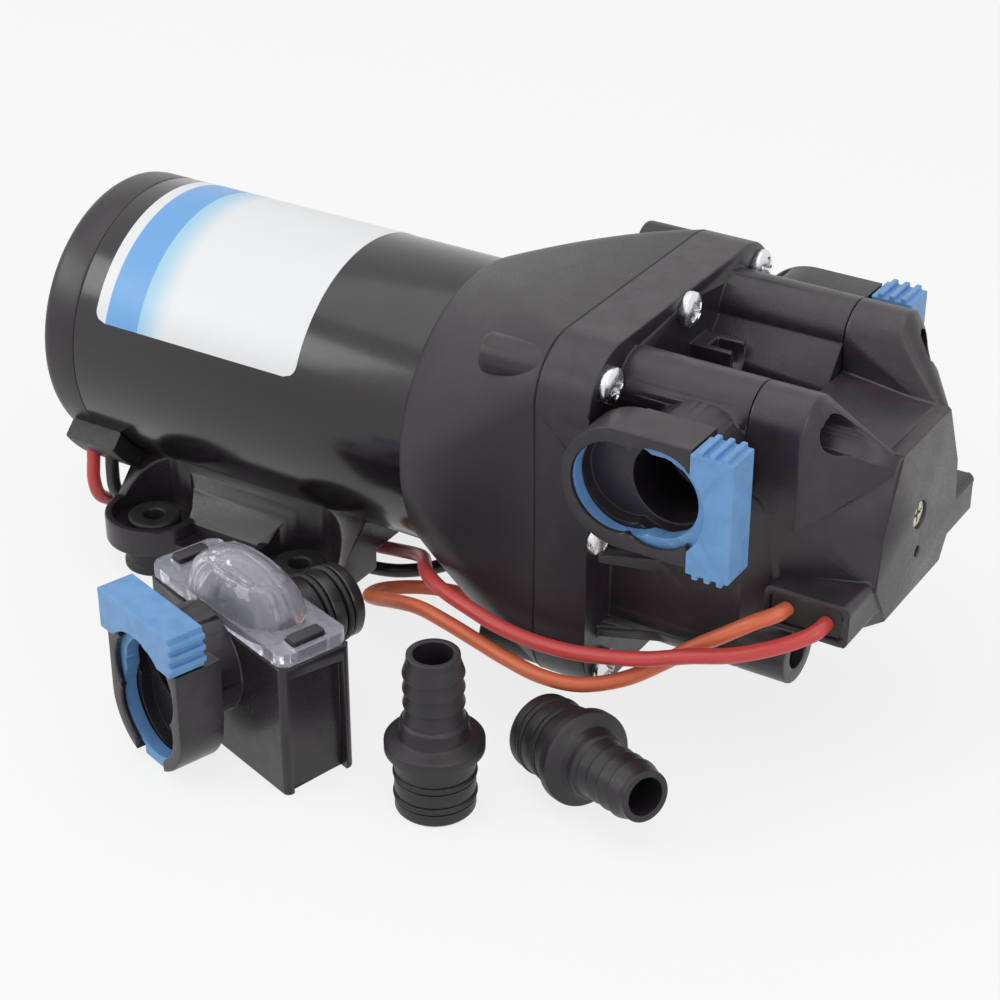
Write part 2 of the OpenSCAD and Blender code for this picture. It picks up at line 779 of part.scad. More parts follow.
module drive_cam() {
    color("#9a9ca0") difference() {
        union() {
            tilted_axis(cam_bearing_back - 1) cylinder(r = journal_r, h = cam_bearing_w + 1);
            on_axis(cam_disc_x) cylinder(r = cam_disc_r, h = cam_disc_t);
            on_axis(cam_disc_x) cylinder(r = journal_r - 1.5, h = nut_x + cam_bearing_back - cam_disc_x + 2);
        }
        on_axis(cam_disc_x - 1) cylinder(r = shaft_r + seat_clear, h = 40);
        // A flat on the rim balances the journal
        on_axis(cam_disc_x - 1) translate([cam_disc_r - 3, -cam_disc_r, 0])
            cube([6, 2 * cam_disc_r, cam_disc_t + 1]);
    }
}

module cam_bearing_inner() {
    color("#b9bbbe") tilted_axis(cam_bearing_back)
        ring(journal_r + cam_ring_t, journal_r + seat_clear, cam_bearing_w);
}

module cam_bearing_outer() {
    color("#b9bbbe") tilted_axis(cam_bearing_back)
        ring(cam_bearing_r, cam_bearing_r - cam_ring_t, cam_bearing_w);
}

module cam_bearing_balls() {
    color("#d5d7da") tilted_axis(cam_bearing_back + cam_bearing_w / 2)
        for (i = [0 : cam_balls - 1])
            rotate(i * 360 / cam_balls) translate([cam_ball_pitch, 0, 0]) sphere(cam_ball_r, $fn = slim_fn);
}

module at_pistons(x) {
    for (a = [45 : 90 : 315])
        tilted_axis(x) rotate(a) translate([piston_pitch, 0, 0]) children();
}

module wobble_plate() {
    face = -diaphragm_t / 2 - seat_clear;
    color("#d8d4c8") difference() {
        union() {
            tilted_axis(plate_back) cylinder(r = wobble_d / 2, h = plate_front - plate_back);
            tilted_axis(cam_bearing_back) cylinder(r = cam_bearing_r + hub_t, h = cam_bearing_w + 1);
            at_pistons(plate_front - 1) cylinder(r = stem_r, h = face - plate_front + 1);
            at_pistons(face - 2.5) cylinder(r = piston_d / 2, h = 2.5);
        }
        tilted_axis(cam_bearing_back - 1) cylinder(r = cam_bearing_r + seat_clear, h = cam_bearing_w + 1);
        tilted_axis(plate_back - 1) cylinder(r = cam_bearing_r - cam_ring_t, h = 2);
        at_pistons(-12) cylinder(r = piston_screw_r + screw_clear, h = 14);
        for (a = [0 : 90 : 270])
            tilted_axis(plate_back - 1) rotate(a) translate([wobble_d / 2 - 1, 0, 0]) cylinder(r = 6, h = 8);
    }
}

module piston_pads() {
    color("#e0ddd2") at_pistons(diaphragm_t / 2 + seat_clear) difference() {
        ring(piston_d / 2, piston_screw_r + screw_clear, pad_t);
        translate([0, 0, pad_t - 1.5]) cylinder(r = piston_screw_r * 2 + 0.5, h = 2);
    }
}

module piston_screws() {
    head_t = 1.4;
    color("#b9bbbe") at_pistons(diaphragm_t / 2 + seat_clear + pad_t - 1.5)
        pan_screw(piston_screw_r, pad_t + diaphragm_t + 5, piston_screw_r * 2, head_t);
}

module diaphragm() {
    color("#2a2a2b") difference() {
        union() {
            on_axis(joint_x) ring(diaphragm_r, piston_pitch + piston_d / 2 + slide_clear, diaphragm_t);
            tilted_axis(-diaphragm_t / 2) cylinder(r = diaphragm_flex_r, h = diaphragm_t);
        }
        at_pistons(-2) cylinder(r = piston_screw_r + screw_clear, h = 4);
    }
}

// Pump head

module valve_housing() {
    color("#cfcabd") difference() {
        on_axis(valve_x) cylinder(r = valve_r, h = valve_t);
        on_axis(valve_x - 1) cylinder(r = diaphragm_flex_r + 1, h = valve_relief + 1);
        for (a = [45 : 90 : 315])
            on_axis(valve_x) rotate(a) translate([piston_pitch, 0, 0]) {
                cylinder(r = chamber_r, h = chamber_floor_x - valve_x);
                translate([0, 0, -1]) cylinder(r = 1.2, h = valve_t + 2, $fn = slim_fn);
                for (b = [0 : 90 : 270])
                    rotate(b) translate([3, 0, -1]) cylinder(r = 0.9, h = valve_t + 2, $fn = slim_fn);
            }
        on_axis(valve_x) cylinder(r = 1.7, h = valve_t + 1);
        for (a = [0 : 60 : 300])
            on_axis(valve_x) rotate(a) translate([5.5, 0, 0]) cylinder(r = 1, h = valve_t + 1, $fn = slim_fn);
        on_axis(valve_front_x - 1.5) ring(seal_pitch + 1, seal_pitch - 1, 2);
    }
}

module inlet_valves() {
    color("#1f1f20") for (a = [45 : 90 : 315])
        on_axis(chamber_floor_x - valve_leaf_t) rotate(a) translate([piston_pitch, 0, 0]) {
            cylinder(r = valve_leaf_r, h = valve_leaf_t);
            cylinder(r = 1, h = valve_leaf_t + 2, $fn = slim_fn);
        }
}

module outlet_valve() {
    color("#1f1f20") {
        on_axis(valve_front_x) cylinder(r = outlet_leaf_r, h = valve_leaf_t);
        on_axis(valve_front_x - 4) cylinder(r = 1.5, h = 5, $fn = slim_fn);
    }
}

module head_seal() {
    color("#161616") on_axis(valve_front_x - 1.5 + seal_r + seat_clear) torus(seal_pitch, seal_r);
}

// Places a port shape (axis +Z, slide +X) on the near side (-1) or the far side (1) of the head
module at_port(side) {
    translate([port_axis_x, side * seat_of(side), axis_h + port_z]) rotate([-90 * side, 0, 0]) children();
}

function seat_of(side) = side < 0 ? near_seat_y : far_seat_y;

// Outline of a collar or clip: a round tail end and straight sides up to x
module tail_outline(r, x) {
    translate([-clip_travel, 0]) circle(r);
    translate([-clip_travel, -r]) square([clip_travel + x, 2 * r]);
}

module port_collar() {
    translate([0, 0, -collar_base]) linear_extrude(collar_base + collar_depth)
        tail_outline(collar_r, collar_end);
}

// What a collar leaves open: the mouth of two circles, the clip channel and the socket
module port_cuts(bore_len) {
    far = collar_end + 20;
    linear_extrude(collar_depth + 1) {
        circle(opening_r);
        translate([-clip_travel - 1, 0]) circle(mouth_tail_r);
        translate([-clip_travel, -mouth_half]) square([clip_travel + far, 2 * mouth_half]);
    }
    translate([0, 0, clip_z - clip_room]) linear_extrude(clip_t + 2 * clip_room) tail_outline(channel_r, far);
    translate([0, 0, -bore_len]) cylinder(r = socket_d / 2, h = bore_len + 1);
}

// Neck from the head to a collar; what lies inside the head's width ends at the cover's seam
module port_neck(seat) {
    root = head_w / 2 + slide_clear - seat;
    translate([0, 0, root]) cylinder(r = neck_r, h = -root);
    intersection() {
        translate([0, 0, root - 4]) cylinder(r = neck_r, h = 5);
        translate([-2 * neck_r, -neck_r, root - 4]) cube([2 * neck_r + head_len - port_x, 2 * neck_r, 4]);
    }
}

// Slide clip with ribs on the grip ends named in sides
module slide_clip(sides) {
    grip_x = collar_end + grip_gap;
    color("#5b9bd8") difference() {
        union() {
            translate([0, 0, clip_z]) linear_extrude(clip_t) tail_outline(clip_r, grip_x + 1);
            translate([grip_x, -grip_w / 2, grip_low]) cube([grip_len, grip_w, grip_high - grip_low]);
            for (i = [0 : grip_ribs - 1], s = sides)
                translate([grip_x + grip_len * (i + 0.75) / (grip_ribs + 0.5) - grip_rib_w / 2, 0, grip_low])
                    translate([0, s * grip_w / 2 - grip_rib_h, 0])
                        cube([grip_rib_w, 2 * grip_rib_h, grip_high - grip_low]);
        }
        translate([-clip_travel, 0, clip_z - 1]) cylinder(r = clip_hole_r, h = clip_t + 2);
        translate([-clip_travel, -clip_slot_r, clip_z - 1]) cube([clip_travel, 2 * clip_slot_r, clip_t + 2]);
        translate([0, 0, -1]) cylinder(r = clip_slot_r, h = grip_high + 2);
        translate([0, 0, clip_z + clip_t]) cylinder(r = grip_round, h = grip_high);
        translate([0, 0, -1]) cylinder(r = grip_round, h = clip_z + 1);
    }
}

module head_core() {
    half = head_w / 2;
    section_x(flange_x - 1, head_len + 1) {
        translate([-half, -low_lobe_z]) square([head_w, low_lobe_z + 14]);
        translate([-low_lobe_y, -core_floor]) square([2 * low_lobe_y, core_floor]);
        circle(arch_d / 2);
        for (s = [-1, 1]) {
            polygon([
                [s * valley_half, 0], [s * valley_half, valley_floor], [s * (lobe_y - lobe_r + 0.4), lobe_z],
                [s * lobe_y, lobe_z], [s * (lobe_y + 3.5), lobe_z - 6], [s * half, 14], [s * half, 0]
            ]);
            translate([s * lobe_y, lobe_z]) circle(lobe_r);
            translate([s * low_lobe_y, -low_lobe_z]) circle(lobe_r);
        }
    }
}

// Gussets and ribs between the flange and the core
module head_ribs() {
    half = head_w / 2;
    for (s = [-1, 1], z = [-26, -8])
        translate([flange_x - 1, 0, axis_h + z]) linear_extrude(2.5)
            polygon([[0, s * (half - 2)], [0, s * (flange_half - 5)], [18, s * (half - 2)]]);
    // Small block with a slot, at the far wall of the valley
    translate([flange_x, valley_half - latch[1] + 1, axis_h + valley_floor - 1]) difference() {
        cube(latch);
        translate([latch_slot, latch[1] / 4, 2]) cube([latch[0], latch[1] / 2, latch[2]]);
    }
}

module head_passages() {
    for (s = [-1, 1]) {
        on_axis(head_bore_x - 1) translate([-port_z, s * passage_y, 0])
            cylinder(r = passage_r, h = port_axis_x - head_bore_x + 1);
        at_port(s) translate([0, 0, passage_y - 1 - seat_of(s)])
            cylinder(r = passage_mouth_r, h = seat_of(s) - passage_y - 1);
    }
    on_axis(head_bore_x - 1) cylinder(r = outlet_leaf_r + 2, h = 3);
    on_axis(seam_x - membrane_t - chamber_depth) translate([-adjuster_z, 0, 0])
        cylinder(r = membrane_r - 2, h = chamber_depth + 1);
    on_axis(seam_x - membrane_t) translate([-adjuster_z, 0, 0])
        cylinder(r = membrane_r + 0.1, h = membrane_t + 1);
    // Two small drillings lead from the outlet passage to the pressure chamber
    translate([seam_x - membrane_t - chamber_depth / 2, passage_y + 1, axis_h + adjuster_z + 3])
        cylinder(r = 1.2, h = port_z - adjuster_z - 3);
    translate([seam_x - membrane_t - chamber_depth / 2, 0, axis_h + adjuster_z + 3.4]) rotate([-90, 0, 0])
        cylinder(r = 1.5, h = passage_y + 2);
}

module pump_head() {
    hole_r = head_screw_d / 2 + screw_clear;
    color("#232225") difference() {
        union() {
            section_x(joint_x, flange_t) rounded_square(flange_half, flange_corner);
            head_core();
            head_ribs();
            for (s = [-1, 1])
                at_port(s) {
                    port_collar();
                    port_neck(seat_of(s));
                }
        }
        on_axis(joint_x - 1) cylinder(r = diaphragm_r + 0.2, h = diaphragm_t + 1);
        on_axis(joint_x) cylinder(r = valve_r + 0.2, h = head_bore_x - joint_x);
        head_passages();
        for (s = [-1, 1])
            at_port(s) port_cuts(socket_len);
        at_head_screws(joint_x - 1) cylinder(r = hole_r, h = flange_t + 2);
        at_cover_screws(seam_x - cover_screw_len)
            cylinder(r = cover_screw_r + screw_clear / 2, h = cover_screw_len + 1);
        at_head_screws(flange_x) cylinder(r = head_relief, h = flange_t / 2);
    }
}

module head_screws() {
    color("#d9dadb") at_head_screws(flange_x)
        pan_screw(head_screw_d / 2, head_screw_len, head_screw_head_r, head_screw_d * 0.75);
}

// Switch

module at_cover_screws(x) {
    for (s = [-1, 1]) {
        on_axis(x) translate([-lobe_z, s * lobe_y, 0]) children();
        on_axis(x) translate([low_lobe_z, s * low_lobe_y, 0]) children();
    }
}

module switch_membrane() {
    color("#2a2a2b") on_axis(seam_x - membrane_t) translate([-adjuster_z, 0, 0])
        cylinder(r = membrane_r, h = membrane_t);
}

module switch_plunger() {
    stem = adjuster_nose_x - plunger_x - plunger_t - plunger_travel - 2;
    arm_low = -7;
    color("#d8d4c8") {
        on_axis(plunger_x) translate([-adjuster_z, 0, 0]) cylinder(r = plunger_r, h = plunger_t);
        on_axis(plunger_x) translate([-adjuster_z, 0, 0]) cylinder(r = plunger_stem_r, h = plunger_t + stem);
        translate([plunger_x + 1, -2, axis_h + arm_low + slide_clear]) cube([2.5, 4, adjuster_z - arm_low - 1]);
    }
}

module switch_spring() {
    color("#c4c6c9") on_axis(spring_start_x) translate([-adjuster_z, 0, 0])
        coil(spring_r, spring_turns, spring_len, spring_wire);
}

module micro_switch() {
    top = -7;
    color("#1b1b1c") {
        translate([seam_x + 2, -10, axis_h + cover_cavity_low]) cube([12, 20, top - 2 - cover_cavity_low]);
        translate([seam_x + 1, -2, axis_h + top - 2.2]) cube([10, 4, 2.2]);
    }
}

module cover_ridge(s) {
    hull() {
        on_axis(seam_x) translate([-lobe_z, s * lobe_y, 0])
            cylinder(r = lobe_r, h = cover_lobe_len, $fn = slim_fn);
        section_x(end_x - 2, 1) translate([s * (end_face[1][0] + 0.5), end_face[1][1] - 3])
            circle(ridge_tip_r, $fn = slim_fn);
        section_x(seam_x, cover_lobe_len)
            translate([s * lobe_y, ridge_root]) square([2 * lobe_r - 2, 4], center = true);
    }
}

module switch_cover() {
    half = seam_face_half;
    plate_w = ledge_len - 2 * gland_inset;
    plate_h = ledge_top - ledge_low - 2 * gland_inset;
    color("#2b2a2d") difference() {
        union() {
            hull() {
                section_x(seam_x, 1) {
                    translate([-half, -low_lobe_z]) square([2 * half, low_lobe_z + 14]);
                    translate([-half + 8, -core_floor]) square([2 * half - 16, core_floor + seam_face_top]);
                }
                section_x(end_x - 1, 1) polygon(end_face);
            }
            for (s = [-1, 1]) {
                cover_ridge(s);
                on_axis(seam_x) translate([low_lobe_z, s * low_lobe_y, 0])
                    cylinder(r = lobe_r, h = cover_lobe_len);
                translate([ledge_x, s > 0 ? 10 : -ledge_depth, axis_h + ledge_low])
                    translate([0, ledge_depth - 10, 0]) rotate([90, 0, 0])
                        linear_extrude(ledge_depth - 10) rounded_box_2d([ledge_len, ledge_top - ledge_low], 2);
            }
        }
        section_x(seam_x - 1, cover_cavity_len + 1)
            translate([-cover_cavity_half, cover_cavity_low])
                square([2 * cover_cavity_half, cover_cavity_high - cover_cavity_low]);
        on_axis(seam_x) translate([-adjuster_z, 0, 0])
            cylinder(r = plunger_r + 0.5, h = adjuster_nose_x + adjuster_nose_t + 0.3 - seam_x);
        on_axis(seam_x) translate([-adjuster_z, 0, 0]) cylinder(r = adjuster_r + run_clear, h = cover_len + 1);
        on_axis(end_x - 3) translate([-adjuster_z + 9, 0, 0]) cylinder(r = 1.3, h = 4, $fn = slim_fn);
        at_cover_screws(seam_x - 1) cylinder(r = cover_screw_r + screw_clear, h = cover_len);
        at_cover_screws(seam_x + cover_screw_seat) cylinder(r = cover_screw_hole_r, h = cover_len);
        translate([ledge_x + gland_inset, -ledge_depth + gland_t, axis_h + ledge_low + gland_inset])
            rotate([90, 0, 0]) linear_extrude(gland_t + 1) rounded_box_2d([plate_w, plate_h], 1.5);
    }
}

module switch_screws() {
    color("#b9bbbe") at_cover_screws(seam_x + cover_screw_seat)
        pan_screw(cover_screw_r, cover_screw_seat + cover_screw_len - 0.5, cover_screw_head_r, 2.4);
}

module adjusting_screw() {
    len = end_x - 0.6 - adjuster_nose_x;
    color("#c9c4b0") on_axis(adjuster_nose_x) translate([-adjuster_z, 0, 0]) difference() {
        union() {
            cylinder(r = plunger_r, h = adjuster_nose_t);
            cylinder(r = adjuster_r, h = len);
        }
        translate([0, 0, -1]) cylinder(r = plunger_stem_r + slide_clear, h = 4);
        translate([0, 0, len]) cross_recess(adjuster_r * 0.8, 1.5);
    }
}

module wire_gland() {
    fit = 0.1;
    plate_w = ledge_len - 2 * gland_inset - 2 * fit;
    plate_h = ledge_top - ledge_low - 2 * gland_inset - 2 * fit;
    inset = gland_inset + fit;
    color("#19191a") translate([ledge_x + inset, -ledge_depth + gland_t, axis_h + ledge_low + inset])
        rotate([90, 0, 0]) linear_extrude(gland_t - 0.6) rounded_box_2d([plate_w, plate_h], 1.4);
}

module inlet_clip() {
    at_port(-1) slide_clip([-1, 1]);
}

module outlet_clip() {
    at_port(1) slide_clip([-1, 1]);
}

// Base

module at_feet() {
    for (sx = [-1, 1], sy = [-1, 1])
        translate([sx * foot_dx / 2, sy * foot_dy / 2, 0]) children();
}

module base_bracket() {
    x0 = -saddle_len / 2;
    color("#242427") difference() {
        union() {
            translate([x0, 0, 0]) rotate([90, 0, 90]) linear_extrude(saddle_len)
                polygon([
                    [-saddle_low_y, plate_z], [-saddle_low_y, plate_top + 3], [-saddle_top_y, saddle_top_z],
                    [saddle_top_y, saddle_top_z], [saddle_low_y, plate_top + 3], [saddle_low_y, plate_z]
                ]);
            at_feet() translate([0, 0, plate_z]) cylinder(r = foot_pad_r, h = plate_t + cup_rim);
            for (sy = [-1, 1])
                translate([-foot_dx / 2, sy * foot_dy / 2 - 6, plate_z]) cube([foot_dx, 12, plate_t]);
        }
        on_axis(x0 - 1) cylinder(r = motor_r + seat_clear, h = saddle_len + 2);
        translate([x0 - 1, -channel_w / 2, -1]) cube([saddle_len + 2, channel_w, channel_h + 1]);
        at_feet() {
            translate([0, 0, plate_top]) cylinder(r = pocket_r, h = axis_h);
            cylinder(r = foot_neck_r + 0.1, h = axis_h);
        }
        for (x = [-saddle_screw_x, saddle_screw_x])
            translate([x, 0, 0]) {
                cylinder(r = saddle_screw_r + screw_clear, h = axis_h);
                cylinder(r = saddle_screw_head_r + 0.3, h = channel_h + saddle_screw_head_t);
            }
    }
}

module rubber_feet() {
    color("#151515") at_feet() rotate_extrude() difference() {
        union() {
            square([foot_r, foot_h]);
            square([foot_neck_r, plate_top + foot_cap_t]);
            translate([0, plate_top]) square([foot_cap_r, foot_cap_t]);
        }
        translate([-1, -1]) square([foot_hole_d / 2 + 1, axis_h]);
    }
}

module saddle_screws() {
    seat = channel_h + saddle_screw_head_t;
    color("#b9bbbe") for (x = [-saddle_screw_x, saddle_screw_x])
        translate([x, 0, seat]) mirror([0, 0, 1])
            pan_screw(saddle_screw_r, axis_h - can_in_r - seat - 0.3, saddle_screw_head_r, saddle_screw_head_t);
}

// Hose fittings

// Outline of the spigot with its two O-ring grooves, up to its flange
module spigot_profile(len) {
    difference() {
        polygon([[0, 0], [spigot_r - 0.8, 0], [spigot_r, 0.8], [spigot_r, len], [0, len]]);
        for (z = o_ring_z)
            translate([groove_r, z - groove_w / 2]) square([spigot_r, groove_w]);
    }
}

module hose_fitting() {
    flange_top = spigot_len + fitting_flange_t;
    hose_z = flange_top + neck_len;
    pitch = (hose_len - 1.5) / barbs;
    color("#242325") rotate_extrude() difference() {
        union() {
            spigot_profile(spigot_len);
            translate([0, spigot_len]) square([fitting_flange_r, fitting_flange_t]);
            translate([0, flange_top]) square([fitting_neck_r, neck_len]);
            polygon([
                [0, hose_z],
                for (i = [0 : barbs - 1]) each [
                    [hose_r, hose_z + i * pitch], [hose_r, hose_z + i * pitch + 0.6],
                    [hose_r - barb_drop, hose_z + (i + 1) * pitch]
                ],
                [hose_r - barb_drop, fitting_len],
                [0, fitting_len]
            ]);
        }
        translate([-1, -1]) square([fitting_bore_r + 1, fitting_len + 2]);
    }
}

module o_rings() {
    color("#121212") for (z = o_ring_z)
        translate([0, 0, z]) torus(o_ring_pitch, o_ring_r);
}

module at_fitting_a() {
    translate(fitting_a_at) children();
}

module at_fitting_b() {
    translate(fitting_b_at + [0, 0, fitting_b_h]) rotate([0, 0, fitting_b_yaw])
        rotate([0, 90 - fitting_b_tilt, 0]) children();
}

module hose_fitting_a() {
    at_fitting_a() hose_fitting();
}

module fitting_a_rings() {
    at_fitting_a() o_rings();
}

module hose_fitting_b() {
    at_fitting_b() hose_fitting();
}

module fitting_b_rings() {
    at_fitting_b() o_rings();
}

// Strainer, in a frame with its box along +X, its inlet towards -Y and its spigot towards +Y

module at_strainer() {
    translate(strainer_at) rotate([0, 0, strainer_yaw]) children();
}

module at_strainer_port() {
    translate([strainer_port_x, -strainer_neck - collar_base, strainer_port_z])
        rotate([0, -90, 0]) rotate([90, 0, 0]) children();
}

module at_strainer_spigot(y) {
    translate([strainer_port_x, y, strainer_port_z]) rotate([-90, 0, 0]) children();
}

strainer_spigot_end = strainer_w + fitting_flange_t + spigot_len;

module strainer_body() {
    end_wall = strainer_wall + end_recess;
    inner_l = strainer_l - 2 * end_wall;
    inner_w = strainer_w - 2 * strainer_wall;
    color("#242325") at_strainer() difference() {
        union() {
            difference() {
                linear_extrude(strainer_h) rounded_box_2d([strainer_l, strainer_w], 1.5);
                for (x = [-1, strainer_l - end_recess])
                    translate([x, end_recess, -1])
                        cube([end_recess + 1, strainer_w - 2 * end_recess, strainer_h - 2]);
            }
            for (x = [lug_l / 2 - window_l / 2, strainer_l - lug_l / 2 - window_l / 2])
                translate([x, strainer_w / 2 - window_w / 2, strainer_h - 3])
                    cube([window_l, window_w, tab_top - strainer_h + 3]);
            at_strainer_port() {
                port_collar();
                translate([0, 0, -strainer_neck - collar_base])
                    cylinder(r = neck_r, h = strainer_neck + collar_base);
            }
            at_strainer_spigot(strainer_w) cylinder(r = fitting_flange_r, h = fitting_flange_t);
            at_strainer_spigot(strainer_spigot_end) mirror([0, 0, 1])
                rotate_extrude() spigot_profile(spigot_len + 0.1);
        }
        translate([lug_l, strainer_wall, strainer_floor_z])
            cube([strainer_l - 2 * lug_l, inner_w, strainer_h]);
        translate([end_wall, strainer_wall, strainer_floor_z])
            cube([inner_l, inner_w, strainer_h - strainer_floor_z - 4]);
        at_strainer_port() {
            port_cuts(strainer_neck + collar_base + strainer_wall + 1);
            translate([-clip_travel - collar_r - 1, -tail_gap / 2, clip_z - clip_room])
                cube([collar_r, tail_gap, collar_depth]);
        }
        at_strainer_spigot(strainer_w - strainer_wall - 1)
            cylinder(r = fitting_bore_r, h = strainer_spigot_end - strainer_w + strainer_wall + 2);
        translate([-5, -30, -10]) cube([strainer_l + 10, 80, 10]);
    }
}

module strainer_lid() {
    mid_l = strainer_l - 2 * lug_l;
    dome_l = mid_l - 4;
    color("#cfcbe6", 0.5) at_strainer() difference() {
        union() {
            translate([0, slide_clear, lid_z]) linear_extrude(lid_t)
                rounded_box_2d([strainer_l, strainer_w - 2 * slide_clear], 1.5);
            // Oval dome: a stack of ovals that draws in to the top
            for (i = [0 : 3])
                translate([strainer_l / 2, strainer_w / 2, lid_z])
                    linear_extrude(lid_t + dome_h * (i + 1) / 4)
                        translate([-(dome_l - strainer_w) / 2 + i, 0])
                            dome_oval(dome_l - strainer_w - 2 * i, strainer_w / 2 - 0.8 - i * i * 0.3);
        }
        translate([strainer_l / 2, strainer_w / 2, lid_z - 1])
            linear_extrude(lid_t + dome_h - 0.6)
                translate([-(dome_l - strainer_w) / 2 + 2, 0])
                    dome_oval(dome_l - strainer_w - 4, strainer_w / 2 - 5.2);
        for (x = [lug_l / 2 - window_l / 2 - 0.3, strainer_l - lug_l / 2 - window_l / 2 - 0.3])
            translate([x, strainer_w / 2 - window_w / 2 - 0.3, lid_z - 1])
                cube([window_l + 0.6, window_w + 0.6, lid_t + dome_h]);
    }
}

module dome_oval(len, r) {
    circle(r);
    translate([len, 0]) circle(r);
    translate([0, -r]) square([len, 2 * r]);
}

module strainer_lid_seal() {
    l = strainer_l - 2 * lug_l;
    color("#1c1c1d") at_strainer() translate([lug_l + 0.2, strainer_wall + 0.2, strainer_h - lid_seal_t + 0.4])
        linear_extrude(lid_seal_t) difference() {
            rounded_box_2d([l - 0.4, strainer_w - 2 * strainer_wall - 0.4], 1.5);
            translate([1.6, 1.6]) rounded_box_2d([l - 3.6, strainer_w - 2 * strainer_wall - 3.6], 1);
        }
}

// Screen tube along the box, with rows of round openings
module strainer_screen() {
    len = strainer_l - 2 * screen_x0;
    rows = 8;
    screen_z = strainer_floor_z + screen_r + 0.1;
    color("#c8cacd") at_strainer() translate([screen_x0, strainer_w / 2, screen_z]) rotate([0, 90, 0])
        difference() {
            ring(screen_r, screen_r - screen_t, len);
            for (i = [0 : rows - 1], a = [0, 60, 120])
                rotate(a) translate([0, 0, 3 + i * (len - 6) / (rows - 1)]) rotate([90, 0, 0])
                    cylinder(r = 1.4, h = 4 * screen_r, center = true, $fn = 16);
        }
}

module strainer_clip() {
    tongue = collar_r - clip_hole_r;
    at_strainer() at_strainer_port() {
        slide_clip([-1]);
        color("#5b9bd8") translate([-clip_travel - collar_r, -tail_gap / 2 + 1, clip_z])
            cube([tongue - 0.2, tail_gap - 2, clip_t]);
    }
}

module strainer_rings() {
    at_strainer() at_strainer_spigot(strainer_spigot_end) mirror([0, 0, 1]) o_rings();
}

// Leads

side_ref = [0, 1, 0];
up_ref = [0, 0, 1];

module red_lead() {
    color("#c83c3c") tube(red_route, lead_r, lead_sides, side_ref);
}

module orange_lead() {
    color("#d75f3c") tube(orange_route, lead_r, lead_sides, up_ref);
}

module black_lead() {
    color("#1a1a1a") tube(black_route, lead_r, lead_sides, side_ref);
}

// Stripped copper end that carries on from the last point of a route
module bare_end(route) {
    last = route[len(route) - 1];
    dir = tangent(route, len(route) - 1);
    color("#b87333") translate(last) rotate([0, 90, atan2(dir[1], dir[0])]) cylinder(r = bare_r, h = bare_len);
}

module orange_lead_end() {
    bare_end(orange_route);
}

module black_lead_end() {
    bare_end(black_route);
}

motor_can();
motor_rear_cap();
motor_front_plate();
field_magnets();
armature_core();
armature_winding();
commutator();
motor_shaft();
front_bearing_outer();
front_bearing_inner();
front_bearing_balls();
rear_bearing();
brush_card();
carbon_brushes();
brush_springs();
lead_gland();
motor_screws();
drive_housing();
drive_cam();
cam_bearing_inner();
cam_bearing_outer();
cam_bearing_balls();
wobble_plate();
piston_pads();
piston_screws();
diaphragm();
valve_housing();
inlet_valves();
outlet_valve();
head_seal();
pump_head();
head_screws();
switch_membrane();
switch_plunger();
switch_spring();
micro_switch();
switch_cover();
switch_screws();
adjusting_screw();
wire_gland();
inlet_clip();
outlet_clip();
base_bracket();
rubber_feet();
saddle_screws();
hose_fitting_a();
fitting_a_rings();
hose_fitting_b();
fitting_b_rings();
strainer_body();
strainer_lid();
strainer_lid_seal();
strainer_screen();
strainer_clip();
strainer_rings();
red_lead();
orange_lead();
orange_lead_end();
black_lead();
black_lead_end();
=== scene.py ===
"""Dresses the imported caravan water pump: plastic, painted can, zinc screws, clear strainer lid and leads."""

import json
import logging
import math
from dataclasses import dataclass
from enum import Enum
from typing import Any, Sequence

import bmesh
import bpy
import numpy as np
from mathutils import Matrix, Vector
from mathutils.geometry import normal
from mathutils.kdtree import KDTree


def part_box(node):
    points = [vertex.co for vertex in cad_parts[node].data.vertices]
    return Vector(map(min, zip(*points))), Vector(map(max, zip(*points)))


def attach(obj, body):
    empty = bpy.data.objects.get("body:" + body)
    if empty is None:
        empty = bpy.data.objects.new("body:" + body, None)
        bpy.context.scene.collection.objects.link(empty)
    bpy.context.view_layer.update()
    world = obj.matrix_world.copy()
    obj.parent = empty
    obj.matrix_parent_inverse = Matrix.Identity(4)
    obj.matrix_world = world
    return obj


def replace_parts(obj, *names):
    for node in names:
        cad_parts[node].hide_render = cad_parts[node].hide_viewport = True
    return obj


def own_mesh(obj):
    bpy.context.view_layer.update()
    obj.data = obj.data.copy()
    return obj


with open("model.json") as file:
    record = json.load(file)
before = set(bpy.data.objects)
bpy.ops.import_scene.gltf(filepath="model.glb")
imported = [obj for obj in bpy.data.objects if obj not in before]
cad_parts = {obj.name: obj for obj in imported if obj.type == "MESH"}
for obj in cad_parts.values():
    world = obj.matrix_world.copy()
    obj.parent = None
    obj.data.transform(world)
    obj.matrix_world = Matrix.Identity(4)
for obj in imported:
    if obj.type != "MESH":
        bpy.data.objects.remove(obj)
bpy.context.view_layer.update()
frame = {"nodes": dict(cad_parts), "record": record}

LOG = logging.getLogger("water_pump")
MM = 0.001
FULL_TURN = 2.0 * math.pi

# Height of the motor axis, in millimetres
AXIS_H = 52.0

# Angles between faces: shown as an edge, rounded by a mould, taken as a fold, and taken as flat
SHARP_EDGE = math.radians(32)
ROUNDED_EDGE = math.radians(24)
FOLD = math.radians(130)
FLAT = math.radians(0.6)

# Rounded edges: the rounds tried, and the room and the distance from a fold that an edge needs, in widths
BEVEL_ROUNDS = 5
ROOM_WIDTHS = 2.4
FOLD_WIDTHS = 3.0

# Tolerances on meshes, in metres: points that are one, in a new piece and in a copy, and slivers.
# The least edge and the least area, in square metres, are those that make a fold.
JOINED = 1e-7
MERGED = 2e-6
SLIVER = 1e-6
LEAST_EDGE = 1e-4
LEAST_AREA = 1e-8

